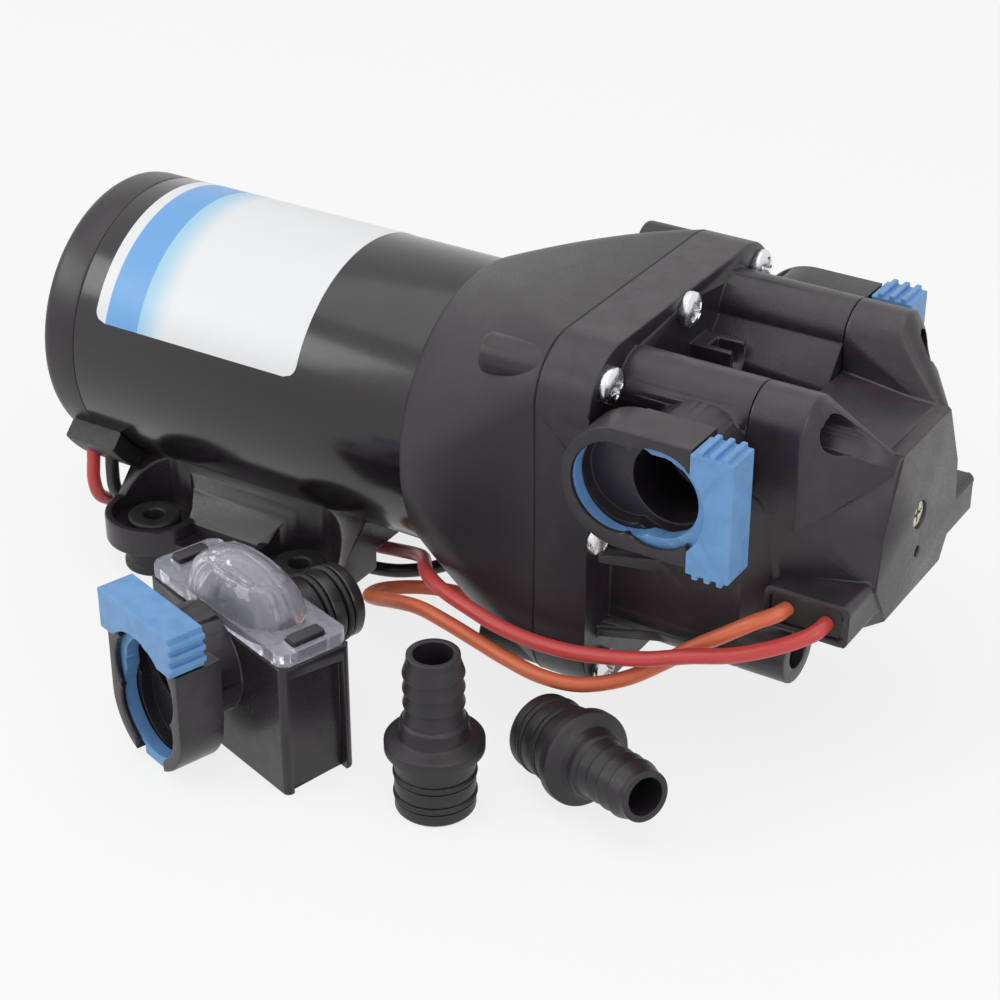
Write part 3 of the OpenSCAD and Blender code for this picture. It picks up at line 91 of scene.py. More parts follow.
# Spigots, in millimetres: O-rings, the grooves that hold them, and the flange behind
RING_T = 1.6
RING_SLACK = 0.02
RING_HEIGHTS = (4.2, 9.4)
GROOVE_R = 7.4
FLANGE_R = 10.7
FLANGE_Z = 15.0

Colour = tuple[float, float, float]
Point = tuple[float, float, float]
Points = Sequence[Sequence[float]]
Grid = np.ndarray
Piece = bpy.types.Object
Socket = bpy.types.NodeSocket


class Slot(str, Enum):
    """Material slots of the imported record."""

    CAN_PAINT = "can_paint"
    BLACK_PLASTIC = "black_plastic"
    BLACK_RUBBER = "black_rubber"
    BLUE_PLASTIC = "blue_plastic"
    WHITE_PLASTIC = "white_plastic"
    CLEAR_PLASTIC = "clear_plastic"
    ZINC_STEEL = "zinc_steel"
    STEEL = "steel"
    CAST_ZINC = "cast_zinc"
    COPPER = "copper"
    BRONZE = "bronze"
    FERRITE = "ferrite"
    CARD = "card"
    CARBON = "carbon"
    RED_LEAD = "red_lead"
    ORANGE_LEAD = "orange_lead"
    BLACK_LEAD = "black_lead"


class Body(str, Enum):
    """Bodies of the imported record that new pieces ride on."""

    PUMP = "pump_body"
    ADJUSTER = "adjuster"
    INLET_CLIP = "inlet_clip_slider"
    OUTLET_CLIP = "outlet_clip_slider"
    STRAINER = "strainer"
    STRAINER_COVER = "strainer_cover"
    STRAINER_CLIP = "strainer_clip_slider"
    STANDING_FITTING = "standing_fitting"
    LYING_FITTING = "lying_fitting"


# Shader nodes


class NodeSheet:
    """Adds nodes to one node tree and joins them."""

    def __init__(self, tree: bpy.types.NodeTree) -> None:
        """Keeps the tree that the nodes go into."""
        self.tree = tree

    def add(self, kind: str, values: dict[Any, Any] | None = None, **settings: Any) -> bpy.types.Node:
        """Adds one node.

        Args:
            kind: Blender's name of the node type.
            values: input name or index to a constant, or to the socket that feeds it.
            settings: attributes of the node.

        Returns:
            The new node.
        """
        node = self.tree.nodes.new(kind)
        for name, value in settings.items():
            setattr(node, name, value)
        for key, value in (values or {}).items():
            if isinstance(value, Socket):
                self.tree.links.new(value, node.inputs[key])
            else:
                node.inputs[key].default_value = value
        return node

    def math(self, operation: str, a: Any, b: Any = 0.0, clamp: bool = False) -> Socket:
        """Returns the result socket of a Math node on two numbers or sockets."""
        return self.add("ShaderNodeMath", {0: a, 1: b}, operation=operation, use_clamp=clamp).outputs[0]

    def ramp(self, value: Any, low: float, high: float, to_low: Any = 0.0, to_high: Any = 1.0) -> Socket:
        """Returns a smooth step of value from low to high, given out as to_low to to_high."""
        values = {"Value": value, "From Min": low, "From Max": high, "To Min": to_low, "To Max": to_high}
        return self.add("ShaderNodeMapRange", values, interpolation_type="SMOOTHSTEP").outputs["Result"]

    def mix(self, factor: Any, a: Any, b: Any) -> Socket:
        """Returns the colour that lies factor of the way from a to b."""
        return self.add("ShaderNodeMix", {0: factor, 6: a, 7: b}, data_type="RGBA").outputs[2]

    def scaled(self, colour: Any, factor: Any) -> Socket:
        """Returns a colour times a number."""
        return self.add("ShaderNodeVectorMath", {0: colour, "Scale": factor}, operation="SCALE").outputs[0]

    def place(self) -> Socket:
        """Returns the place on the object."""
        return self.add("ShaderNodeTexCoord").outputs["Object"]

    def noise(self, per_metre: Any, detail: float) -> Socket:
        """Returns a noise on object coordinates with so many cells to the metre."""
        values = {"Vector": self.place(), "Scale": per_metre, "Detail": detail}
        return self.add("ShaderNodeTexNoise", values).outputs[0]

    def group(self, tree: bpy.types.NodeTree, values: dict[str, Any]) -> bpy.types.NodeOutputs:
        """Returns the outputs of a shared group placed with its own values."""
        return self.add("ShaderNodeGroup", values, node_tree=tree).outputs

    def surface(self, shader: bpy.types.Node, kind: str = "ShaderNodeOutputMaterial") -> None:
        """Joins a shader to the tree's output."""
        self.tree.links.new(shader.outputs[0], self.add(kind).inputs["Surface"])


def new_material(name: str) -> tuple[bpy.types.Material, NodeSheet]:
    """Starts a material with an empty node tree.

    Args:
        name: name of the material.

    Returns:
        The material, and the sheet of its tree.
    """
    material = bpy.data.materials.new(name)
    material.use_nodes = True
    material.node_tree.nodes.clear()
    return material, NodeSheet(material.node_tree)


def new_group(name: str, inputs: Sequence[tuple[str, str]], outputs: Sequence[tuple[str, str]]) -> tuple:
    """Starts a shader node group with named sockets.

    Args:
        name: name of the group.
        inputs: pairs of socket name and socket type.
        outputs: pairs of socket name and socket type.

    Returns:
        The node tree, its sheet, the input node's sockets and the output node's sockets.
    """
    tree = bpy.data.node_groups.new(name, "ShaderNodeTree")
    for label, kind in inputs:
        tree.interface.new_socket(name=label, in_out="INPUT", socket_type=kind)
    for label, kind in outputs:
        tree.interface.new_socket(name=label, in_out="OUTPUT", socket_type=kind)
    sheet = NodeSheet(tree)
    return tree, sheet, sheet.add("NodeGroupInput").outputs, sheet.add("NodeGroupOutput").inputs


FLOAT = "NodeSocketFloat"
COLOUR = "NodeSocketColor"
DUST_COLOUR = (0.30, 0.29, 0.285, 1.0)
PURE_WHITE = (1.0, 1.0, 1.0, 1.0)

# What dust adds to roughness, what the edge mask takes from it, and how many times paler the painted edge
# highlight is
DUST_HAZE = 0.3
EDGE_POLISH = 0.15
HIGHLIGHT_PALER = 2.6


class Effects:
    """Node groups that several finishes share, each built once."""

    def __init__(self) -> None:
        """Builds the four groups."""
        self.grain = self.moulded_grain()
        self.tone = self.tone_drift()
        self.edge_highlight = self.painted_edge_highlight()
        self.dust = self.settled_dust()

    def moulded_grain(self) -> bpy.types.NodeTree:
        """Builds the spark-eroded grain: fine noise and pits, as a height and as a fleck mask.

        Returns:
            The group's node tree.
        """
        tree, sheet, given, out = new_group(
            "moulded_grain", [("Grains", FLOAT)], [("Height", FLOAT), ("Fleck", FLOAT)])
        fine = sheet.noise(given["Grains"], 4.0)
        values = {"Vector": sheet.place(), "Scale": given["Grains"]}
        pits = sheet.add("ShaderNodeTexVoronoi", values).outputs["Distance"]
        height = sheet.math("ADD", sheet.math("MULTIPLY", fine, 0.7), sheet.math("MULTIPLY", pits, 0.3))
        tree.links.new(height, out["Height"])
        tree.links.new(sheet.ramp(fine, 0.35, 0.65), out["Fleck"])
        return tree

    def tone_drift(self) -> bpy.types.NodeTree:
        """Builds the slow drift of tone over a moulding: the colour times one plus or minus the drift.

        Returns:
            The group's node tree.
        """
        tree, sheet, given, out = new_group(
            "tone_drift", [("Color", COLOUR), ("Drift", FLOAT), ("Patches", FLOAT)], [("Color", COLOUR)])
        cloud = sheet.math("SUBTRACT", sheet.noise(given["Patches"], 5.0), 0.5)
        swing = sheet.math("MULTIPLY", given["Drift"], 4.0)
        factor = sheet.math("ADD", 1.0, sheet.math("MULTIPLY", cloud, swing))
        tree.links.new(sheet.scaled(given["Color"], factor), out["Color"])
        return tree

    def painted_edge_highlight(self) -> bpy.types.NodeTree:
        """Builds a painted highlight on edges, paler in colour and smoother, from the mesh's own edge
        attribute broken up by noise.

        Returns:
            The group's node tree.
        """
        tree, sheet, given, out = new_group(
            "painted_edge_highlight", [("Color", COLOUR), ("Highlight", FLOAT)], [("Color", COLOUR), ("Shine", FLOAT)])
        edge = sheet.add("ShaderNodeAttribute", attribute_name="edge").outputs["Fac"]
        broken = sheet.ramp(sheet.noise(260.0, 4.0), 0.35, 0.62, 0.25, 1.0)
        mask = sheet.math("MULTIPLY", sheet.math("MULTIPLY", edge, broken), given["Highlight"], True)
        # Painted highlight: the rounded edges are drawn this many times paler in colour
        paler = sheet.scaled(given["Color"], HIGHLIGHT_PALER)
        tree.links.new(sheet.mix(mask, given["Color"], paler), out["Color"])
        tree.links.new(mask, out["Shine"])
        return tree

    def settled_dust(self) -> bpy.types.NodeTree:
        """Builds thin dust on upward faces: the normal's height through a smooth step, times noise.

        Returns:
            The group's node tree.
        """
        tree, sheet, given, out = new_group(
            "settled_dust", [("Color", COLOUR), ("Dust", FLOAT)], [("Color", COLOUR), ("Haze", FLOAT)])
        facing = sheet.add("ShaderNodeTexCoord").outputs["Normal"]
        up = sheet.ramp(sheet.add("ShaderNodeSeparateXYZ", {0: facing}).outputs["Z"], 0.1, 1.0)
        patch = sheet.ramp(sheet.noise(140.0, 6.0), 0.35, 0.75)
        mask = sheet.math("MULTIPLY", sheet.math("MULTIPLY", up, patch), given["Dust"], True)
        tree.links.new(sheet.mix(mask, given["Color"], DUST_COLOUR), out["Color"])
        tree.links.new(mask, out["Haze"])
        return tree


EFFECTS = Effects()


# Finishes


@dataclass(frozen=True)
class Finish:
    """A moulded, painted or metal finish with its grain, tone drift, painted edge highlight and dust."""

    name: str
    slot: Slot | None
    colour: Colour
    rough: float
    rough_swing: float = 0.08
    grains: float = 2600.0
    grain_depth: float = 0.03
    drift: float = 0.08
    patches: float = 60.0
    # Strength of the painted edge highlight on rounded edges, which also makes them smoother
    edge_highlight: float = 0.35
    dust: float = 0.05
    metallic: float = 0.0
    coat: float = 0.0
    sockets: tuple[tuple[str, float], ...] = ()

    def material(self) -> bpy.types.Material:
        """Returns the finish's material, built the first time it is asked for."""
        return bpy.data.materials.get(self.name) or self.build()

    def paint(self, sheet: NodeSheet) -> Any:
        """Returns the colour before drift, rub and dust."""
        return (*self.colour, 1.0)

    def build(self) -> bpy.types.Material:
        """Builds the material: colour through drift, painted edge highlight and dust, roughness from fleck,
        shine and haze.

        Returns:
            The new material.
        """
        material, sheet = new_material(self.name)
        shader = sheet.add("ShaderNodeBsdfPrincipled")
        values = {"Color": self.paint(sheet), "Drift": self.drift, "Patches": self.patches}
        tone = sheet.group(EFFECTS.tone, values)
        edge_highlight = sheet.group(EFFECTS.edge_highlight, {"Color": tone["Color"], "Highlight": self.edge_highlight})
        dust = sheet.group(EFFECTS.dust, {"Color": edge_highlight["Color"], "Dust": self.dust})
        grain = sheet.group(EFFECTS.grain, {"Grains": self.grains})
        swing = sheet.math("MULTIPLY", grain["Fleck"], self.rough_swing)
        haze = sheet.math("MULTIPLY", dust["Haze"], DUST_HAZE)
        rough = sheet.math("ADD", sheet.math("ADD", swing, self.rough), haze)
        rough = sheet.math("SUBTRACT", rough, sheet.math("MULTIPLY", edge_highlight["Shine"], EDGE_POLISH), True)
        values = {"Height": grain["Height"], "Strength": 1.0, "Distance": self.grain_depth * MM}
        bump = sheet.add("ShaderNodeBump", values)
        fed = {"Base Color": dust["Color"], "Roughness": rough, "Normal": bump.outputs[0]}
        for socket, value in fed.items():
            sheet.tree.links.new(value, shader.inputs[socket])
        for socket, value in (("Metallic", self.metallic), ("Coat Weight", self.coat), *self.sockets):
            shader.inputs[socket].default_value = value
        sheet.surface(shader)
        return material


@dataclass(frozen=True)
class LabelFinish(Finish):
    """Printed film: white, with a blue and a pale band across it, and no words."""

    band_from: float = -0.0298
    band_to: float = -0.0203
    pale_to: float = -0.0112
    blur: float = 0.00008
    blue: Colour = (0.17, 0.42, 0.80)
    pale: Colour = (0.40, 0.68, 0.86)

    def paint(self, sheet: NodeSheet) -> Any:
        """Chooses the bands' colours by the place along the can.

        Args:
            sheet: sheet of the material's tree.

        Returns:
            The colour's socket.
        """
        along = sheet.add("ShaderNodeSeparateXYZ", {0: sheet.place()}).outputs["X"]
        past_start = sheet.ramp(along, self.band_from - self.blur, self.band_from + self.blur)
        past_blue = sheet.ramp(along, self.band_to - self.blur, self.band_to + self.blur)
        past_pale = sheet.ramp(along, self.band_to, self.pale_to)
        white = (*self.colour, 1.0)
        beyond = sheet.mix(past_pale, (*self.pale, 1.0), white)
        return sheet.mix(past_start, white, sheet.mix(past_blue, (*self.blue, 1.0), beyond))


@dataclass(frozen=True)
class ClearFinish(Finish):
    """Clear moulded plastic with a faint tint."""

    ior: float = 1.49
    clearness: float = 0.86

    def build(self) -> bpy.types.Material:
        """Builds the material: mostly transmission, with a little milky body.

        Returns:
            The new material.
        """
        material = super().build()
        shader = next(n for n in material.node_tree.nodes if n.type == "BSDF_PRINCIPLED")
        shader.inputs["Transmission Weight"].default_value = self.clearness
        shader.inputs["IOR"].default_value = self.ior
        return material


def lead_finish(name: str, slot: Slot, colour: Colour, dust: float = 0.02) -> Finish:
    """Returns the finish of a lead's insulation in one colour."""
    return Finish(name, slot, colour, 0.33, 0.08, 1100.0, 0.02, 0.05, 90.0, edge_highlight=0.0, dust=dust)


CAN_PAINT = Finish("can_paint_gloss", Slot.CAN_PAINT, (0.0130, 0.0098, 0.0128), 0.18, 0.04, 900.0, 0.012, 0.1,
                   edge_highlight=0.2, dust=0.02, coat=0.18, sockets=(("Coat Roughness", 0.09),))
CAP_PAINT = Finish("rear_cap_satin", Slot.CAN_PAINT, (0.0185, 0.0145, 0.0180), 0.31, 0.06, 1800.0, 0.02)
HOUSING = Finish("housing_plastic", Slot.BLACK_PLASTIC, (0.0175, 0.0135, 0.0175), 0.38, 0.08, 2400.0, 0.035)
HEAD = Finish("head_plastic", Slot.BLACK_PLASTIC, (0.0158, 0.0122, 0.0158), 0.35, 0.10, 2600.0, 0.045)
COVER = Finish("cover_plastic", Slot.BLACK_PLASTIC, (0.0200, 0.0156, 0.0196), 0.34, 0.10, 2600.0, 0.045)
BASE = Finish("base_plastic", Slot.BLACK_PLASTIC, (0.0160, 0.0124, 0.0158), 0.31, 0.08, 2200.0, 0.03)
FITTING = Finish("fitting_plastic", Slot.BLACK_PLASTIC, (0.0140, 0.0110, 0.0140), 0.40, 0.10, 2400.0, 0.04)
STRAINER = Finish("strainer_plastic", Slot.BLACK_PLASTIC, (0.0140, 0.0110, 0.0140), 0.31, 0.06, 2200.0, 0.018)
RUBBER = Finish("seal_rubber", Slot.BLACK_RUBBER, (0.010, 0.010, 0.010), 0.50, 0.12, 1500.0, 0.03,
                edge_highlight=0.1, dust=0.08)
GLAND = Finish("gland_rubber", Slot.BLACK_RUBBER, (0.012, 0.012, 0.012), 0.45, 0.10, 1700.0, 0.03, edge_highlight=0.15)
BLUE = Finish("clip_blue", Slot.BLUE_PLASTIC, (0.135, 0.305, 0.575), 0.42, 0.08, 2000.0, 0.02, 0.05, 45.0,
              edge_highlight=0.12, dust=0.02, sockets=(("Subsurface Weight", 0.06), ("Subsurface Scale", 0.002)))
WHITE = Finish("inner_nylon", Slot.WHITE_PLASTIC, (0.68, 0.65, 0.57), 0.45, edge_highlight=0.05)
ZINC = Finish("zinc_plate", Slot.ZINC_STEEL, (0.74, 0.75, 0.76), 0.20, 0.14, 1400.0, 0.015, 0.07, 300.0,
              edge_highlight=0.0, dust=0.02, metallic=1.0)
STEEL = Finish("ground_steel", Slot.STEEL, (0.56, 0.57, 0.58), 0.24, 0.14, 1600.0, 0.01, 0.08, metallic=1.0)
CAST = Finish("cast_zinc_dull", Slot.CAST_ZINC, (0.40, 0.41, 0.42), 0.48, 0.14, 1400.0, 0.04, 0.1,
              metallic=1.0)
COPPER = Finish("copper_wire", Slot.COPPER, (0.80, 0.38, 0.19), 0.28, 0.12, 1500.0, 0.01, 0.1, metallic=1.0)
BRONZE = Finish("sinter_bronze", Slot.BRONZE, (0.50, 0.34, 0.14), 0.48, 0.12, 1800.0, 0.03, 0.1, metallic=1.0)
FERRITE = Finish("magnet_ferrite", Slot.FERRITE, (0.055, 0.055, 0.060), 0.60, 0.10, 1400.0, 0.05)
CARD = Finish("brush_card_paper", Slot.CARD, (0.095, 0.050, 0.028), 0.55, 0.12, 900.0, 0.03, 0.14)
CARBON = Finish("brush_carbon", Slot.CARBON, (0.030, 0.030, 0.032), 0.42, 0.14, 1900.0, 0.03)
NICKEL = Finish("adjuster_nickel", Slot.ZINC_STEEL, (0.62, 0.59, 0.50), 0.26, 0.16, 1300.0, 0.02, 0.12, 300.0,
                edge_highlight=0.0, metallic=1.0)
RED = lead_finish("lead_red", Slot.RED_LEAD, (0.620, 0.066, 0.062))
ORANGE = lead_finish("lead_orange", Slot.ORANGE_LEAD, (0.800, 0.180, 0.080))
BLACK_PVC = lead_finish("lead_black", Slot.BLACK_LEAD, (0.014, 0.014, 0.014), dust=0.05)
LABEL = LabelFinish("label_film", None, (0.86, 0.87, 0.88), 0.34, 0.06, 700.0, 0.008, 0.012, 40.0,
                    edge_highlight=0.0, dust=0.0)
CLEAR = ClearFinish("lid_clear", Slot.CLEAR_PLASTIC, (0.90, 0.89, 0.97), 0.03, 0.03, 500.0, 0.04, 0.03, 90.0,
                    edge_highlight=0.0, dust=0.0)


# Surfaces


def grid_faces(rows: int, cols: int, wrap_rows: bool, wrap_cols: bool) -> np.ndarray:
    """Joins a grid of points, numbered row by row, with quads.

    Args:
        rows: number of rows.
        cols: number of columns.
        wrap_rows: joins the last row to the first.
        wrap_cols: joins the last column to the first.

    Returns:
        The corners of each quad.
    """
    i, j = np.meshgrid(np.arange(rows if wrap_rows else rows - 1),
                       np.arange(cols if wrap_cols else cols - 1), indexing="ij")
    i2, j2 = (i + 1) % rows, (j + 1) % cols
    return np.stack([i * cols + j, i * cols + j2, i2 * cols + j2, i2 * cols + j], -1).reshape(-1, 4)


@dataclass
class Surface:
    """Points in millimetres and the faces between them."""

    points: np.ndarray
    faces: list[list[int]]

    @classmethod
    def from_grid(cls, grid: Grid, wrap_rows: bool = False, caps: bool = False) -> "Surface":
        """Makes a surface from a grid of points whose rows are closed rings.

        Args:
            grid: points, rows by columns by 3.
            wrap_rows: joins the last row to the first.
            caps: closes the first and last rows with one face each.

        Returns:
            The surface.
        """
        rows, cols = grid.shape[:2]
        faces = grid_faces(rows, cols, wrap_rows, True).tolist()
        if caps:
            ring = np.arange(cols)
            faces += [ring[::-1].tolist(), (ring + (rows - 1) * cols).tolist()]
        return cls(grid.reshape(-1, 3), faces)

    @classmethod
    def patch(cls, outer: Grid, inner: Grid) -> "Surface":
        """Makes a closed thin panel: two open grids of one size, and a strip round their edges.

        Args:
            outer: points of the outer side.
            inner: points of the inner side.

        Returns:
            The surface.
        """
        rows, cols = outer.shape[:2]
        count = rows * cols
        index = np.arange(count).reshape(rows, cols)
        rim = np.concatenate([index[0], index[1:, -1], index[-1, -2::-1], index[-2:0:-1, 0]])
        after = np.roll(rim, -1)
        quads = grid_faces(rows, cols, False, False)
        sides = np.stack([rim, rim + count, after + count, after], -1)
        faces = np.concatenate([quads, quads[:, ::-1] + count, sides]).tolist()
        return cls(np.concatenate([outer.reshape(-1, 3), inner.reshape(-1, 3)]), faces)

    def placed(self, places: np.ndarray) -> "Surface":
        """Repeats the surface at each place: every point times each matrix.

        Args:
            places: 4 by 4 matrices.

        Returns:
            The copies as one surface.
        """
        wide = np.concatenate([self.points, np.ones((len(self.points), 1))], 1)
        points = np.einsum("pij,vj->pvi", places, wide)[..., :3].reshape(-1, 3)
        faces = [[v + k * len(self.points) for v in face] for k in range(len(places)) for face in self.faces]
        return Surface(points, faces)

    def joined(self, *others: "Surface") -> "Surface":
        """Puts surfaces together.

        Args:
            others: surfaces to add.

        Returns:
            This surface and the others as one.
        """
        points, faces = [self.points], list(self.faces)
        for other in others:
            start = sum(len(p) for p in points)
            faces += [[v + start for v in face] for face in other.faces]
            points.append(other.points)
        return Surface(np.concatenate(points), faces)

    def piece(self, name: str, sharp: float = SHARP_EDGE) -> Piece:
        """Makes the object in metres, with faces outwards and smooth but for its sharp edges.

        Args:
            name: name of the piece.
            sharp: angle between faces past which an edge stays sharp.

        Returns:
            The new object, in the scene.
        """
        mesh = bpy.data.meshes.new(name)
        mesh.from_pydata((self.points * MM).tolist(), [], self.faces)
        work = bmesh.new()
        work.from_mesh(mesh)
        bmesh.ops.remove_doubles(work, verts=work.verts, dist=JOINED)
        bmesh.ops.recalc_face_normals(work, faces=work.faces)
        work.to_mesh(mesh)
        work.free()
        return show(name, mesh, sharp)


def show(name: str, mesh: bpy.types.Mesh, sharp: float = SHARP_EDGE) -> Piece:
    """Puts a mesh into the scene as a smooth object.

    Args:
        name: name of the piece.
        mesh: its mesh, in place.
        sharp: angle between faces past which an edge stays sharp.

    Returns:
        The new object.
    """
    mesh.shade_smooth()
    mesh.set_sharp_from_angle(angle=sharp)
    piece = bpy.data.objects.new(name, mesh)
    bpy.context.scene.collection.objects.link(piece)
    return piece


def filleted(corners: Points, radii: float | Sequence[float], steps: int = 5) -> np.ndarray:
    """Rounds the corners of a closed outline.

    Each corner gives way to a curve whose pull point is the corner: (1-t)^2 a + 2t(1-t) corner + t^2 b,
    with a and b a radius away along the two sides, or 45% of the side where that is shorter.

    Args:
        corners: outline points.
        radii: one radius, or one for each corner.
        steps: points on each rounded corner.

    Returns:
        The rounded outline.
    """
    at = np.asarray(corners, float)
    to_last = np.roll(at, 1, 0) - at
    to_next = np.roll(at, -1, 0) - at
    reach = np.broadcast_to(np.asarray(radii, float), len(at))[:, None]

    def cut(side: np.ndarray) -> np.ndarray:
        """Returns the point where a side's straight part ends."""
        length = np.linalg.norm(side, axis=1, keepdims=True)
        return at + side / length * np.minimum(reach, 0.45 * length)

    t = np.linspace(0, 1, steps)[None, :, None]
    a, b = cut(to_last)[:, None], cut(to_next)[:, None]
    return ((1 - t) ** 2 * a + 2 * t * (1 - t) * at[:, None] + t**2 * b).reshape(-1, 2)


def turned(profile: np.ndarray, segments: int = 96) -> Surface:
    """Carries a closed profile round the Z axis: (r cos a, r sin a, h).

    Args:
        profile: pairs of radius and height.
        segments: steps of the full turn.

    Returns:
        The closed surface.
    """
    angle = np.linspace(0, FULL_TURN, segments, endpoint=False)
    r, h = profile[:, :1], profile[:, 1:]
    grid = np.stack([r * np.cos(angle), r * np.sin(angle), np.broadcast_to(h, (len(profile), segments))], -1)
    return Surface.from_grid(grid, wrap_rows=True)


def place(origin: Sequence[float], along: Sequence[float], side: Sequence[float]) -> np.ndarray:
    """Works out a place from its directions.

    Args:
        origin: its origin in millimetres.
        along: direction of its Z.
        side: direction that its X is nearest to.

    Returns:
        The 4 by 4 matrix.
    """
    z = np.asarray(along, float) / np.linalg.norm(along)
    x = np.asarray(side, float) - np.dot(side, z) * z
    x /= np.linalg.norm(x)
    made = np.eye(4)
    made[:3, 0], made[:3, 1], made[:3, 2], made[:3, 3] = x, np.cross(z, x), z, origin
    return made


def on_shaft(x: float) -> np.ndarray:
    """Returns the place on the motor axis at x, with Z along the shaft and X down."""
    return place((x, 0, AXIS_H), (1, 0, 0), (0, 0, -1))


def slab(x: Grid, y: Grid, top: Grid, low: Grid, kept: np.ndarray) -> Surface:
    """Returns a closed slab over a grid in plan, with openings.

    Each kept cell has a face on the top and one on the underside, and wherever a kept cell borders on a
    cell that isn't kept, or on nothing, a wall joins the two.

    Args:
        x: places of the grid's points.
        y: places of the grid's points.
        top: heights of the upper side.
        low: heights of the underside.
        kept: the cells that are solid, one fewer each way than the points.

    Returns:
        The closed surface.
    """
    rows, cols = x.shape
    count = rows * cols
    index = np.arange(count).reshape(rows, cols)
    a, b, c, d = index[:-1, :-1], index[:-1, 1:], index[1:, 1:], index[1:, :-1]
    upper = np.stack([a, d, c, b], -1)[kept]
    framed = np.pad(kept, 1)
    walls = []
    sides = ((framed[1:-1, :-2], d, a), (framed[1:-1, 2:], b, c),
             (framed[:-2, 1:-1], a, b), (framed[2:, 1:-1], c, d))
    for beyond, start, end in sides:
        open_side = kept & ~beyond
        s, e = start[open_side], end[open_side]
        walls.append(np.stack([s, e, e + count, s + count], -1))
    faces = np.concatenate([upper, upper[:, ::-1] + count, *walls]).tolist()
    points = np.concatenate([np.stack([x, y, h], -1).reshape(-1, 3) for h in (top, low)])
    used, renumbered = np.unique(np.asarray(faces), return_inverse=True)
    return Surface(points[used], renumbered.reshape(-1, 4).tolist())


def spigot_rings() -> Surface:
    """Makes a spigot's two O-rings: a circle of the ring's thickness carried round in each groove.

    Returns:
        The two rings as one surface.
    """
    a = np.linspace(0, FULL_TURN, 20, endpoint=False)
    across = GROOVE_R + RING_T / 2 + RING_SLACK + RING_T / 2 * np.cos(a)
    low, high = (turned(np.stack([across, z + RING_T / 2 * np.sin(a)], -1), 80) for z in RING_HEIGHTS)
    return low.joined(high)


def pan_head(radius: float, height: float, shank: float, length: float) -> Surface:
    """Returns a pan-head screw along Z with its head on z = 0.

    The head is a dome, height * sqrt(1 - 0.72 (r/radius)^2), less a cross whose depth falls from the
    middle, where the smaller of |x| and |y| lies inside the slot's half width.

    Args:
        radius: head radius.
        height: head height.
        shank: shank radius.
        length: shank length under the head.

    Returns:
        The closed surface.
    """
    angle = np.linspace(0, FULL_TURN, 96, endpoint=False)[None]
    r = np.concatenate([[0.02], np.linspace(0.06, 0.985, 30)])[:, None] * radius
    x, y = r * np.cos(angle), r * np.sin(angle)
    dome = height * np.sqrt(1 - 0.72 * (r / radius) ** 2) + 0 * angle
    slot_half, slot_blend, slot_reach, slot_runout = (part * radius for part in (0.17, 0.07, 0.66, 0.16))
    slot = np.clip((slot_half - np.minimum(abs(x), abs(y))) / slot_blend + 0.5, 0, 1)
    reach = np.clip((slot_reach - r) / slot_runout, 0, 1)
    z = dome - 0.62 * height * slot**2 * (3 - 2 * slot) * reach
    top = np.stack([x, y, z], -1)
    low = np.array([[radius, 0.42 * height], [radius, 0.1 * height], [0.96 * radius, 0.0], [shank, 0.0],
                    [shank, -length + 1], [0.4 * shank, -length]])
    skirt = np.stack([low[:, :1] * np.cos(angle), low[:, :1] * np.sin(angle), low[:, 1:] + 0 * angle], -1)
    return Surface.from_grid(np.concatenate([top, skirt]), caps=True)


def softened(node: str, width: float) -> Piece:
    """Copies a CAD node's mesh and rounds its sharp edges, as a mould does.

    Each sharp edge that has room for it is bevelled, and the new corners carry the edge attribute that the
    painted edge highlight reads. Where the result folds over itself, the edges around the fold are left out,
    and the copy is made again.

    Args:
        node: the CAD node.
        width: width of the rounding in millimetres.

    Returns:
        The new object, which stands for the node.
    """
    reach = width * MM
    spoiled: list[Vector] = []
    for attempt in range(BEVEL_ROUNDS):
        work = whole_faced(node)
        layer = work.verts.layers.float["edge"]
        tree = KDTree(len(spoiled))
        for index, point in enumerate(spoiled):
            tree.insert(point, index)
        tree.balance()
        edges = [e for e in work.edges if len(e.link_faces) == 2 and e.calc_face_angle(0.0) > ROUNDED_EDGE
                 and min(room(e, f) for f in e.link_faces) > ROOM_WIDTHS * reach
                 and not any(tree.find_range(v.co, FOLD_WIDTHS * reach) for v in e.verts)]
        made = bmesh.ops.bevel(work, geom=edges, offset=reach, offset_type="OFFSET", segments=2,
                               profile=0.5, affect="EDGES", clamp_overlap=False, loop_slide=True)
        for vert in made["verts"]:
            vert[layer] = 1.0
        folds = folded_spots(work)
        LOG.info("%s: round %d, %d edges, %d folds", node, attempt + 1, len(edges), len(folds))
        if not folds:
            break
        spoiled += folds
    bmesh.ops.dissolve_degenerate(work, edges=work.edges, dist=SLIVER)
    mesh = bpy.data.meshes.new(f"{node}_moulded")
    work.to_mesh(mesh)
    work.free()
    piece = show(mesh.name, mesh)
    weights = piece.modifiers.new("weighted_normals", "WEIGHTED_NORMAL")
    weights.weight = 70
    weights.keep_sharp = True
    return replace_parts(piece, node)


def whole_faced(node: str) -> bmesh.types.BMesh:
    """Copies a CAD node merged, its flat faces cut up afresh so that none runs round a hole.

    Args:
        node: the CAD node.

    Returns:
        The copy, with an empty edge layer.
    """
    work = bmesh.new()
    work.from_mesh(frame["nodes"][node].data)
    work.verts.layers.float.new("edge")
    bmesh.ops.remove_doubles(work, verts=work.verts, dist=MERGED)
    bmesh.ops.dissolve_degenerate(work, edges=work.edges, dist=SLIVER)
    bmesh.ops.dissolve_limit(work, angle_limit=FLAT, verts=work.verts, edges=work.edges)
    bmesh.ops.triangulate(work, faces=[f for f in work.faces if len(f.verts) > 4], ngon_method="BEAUTY")
    return work


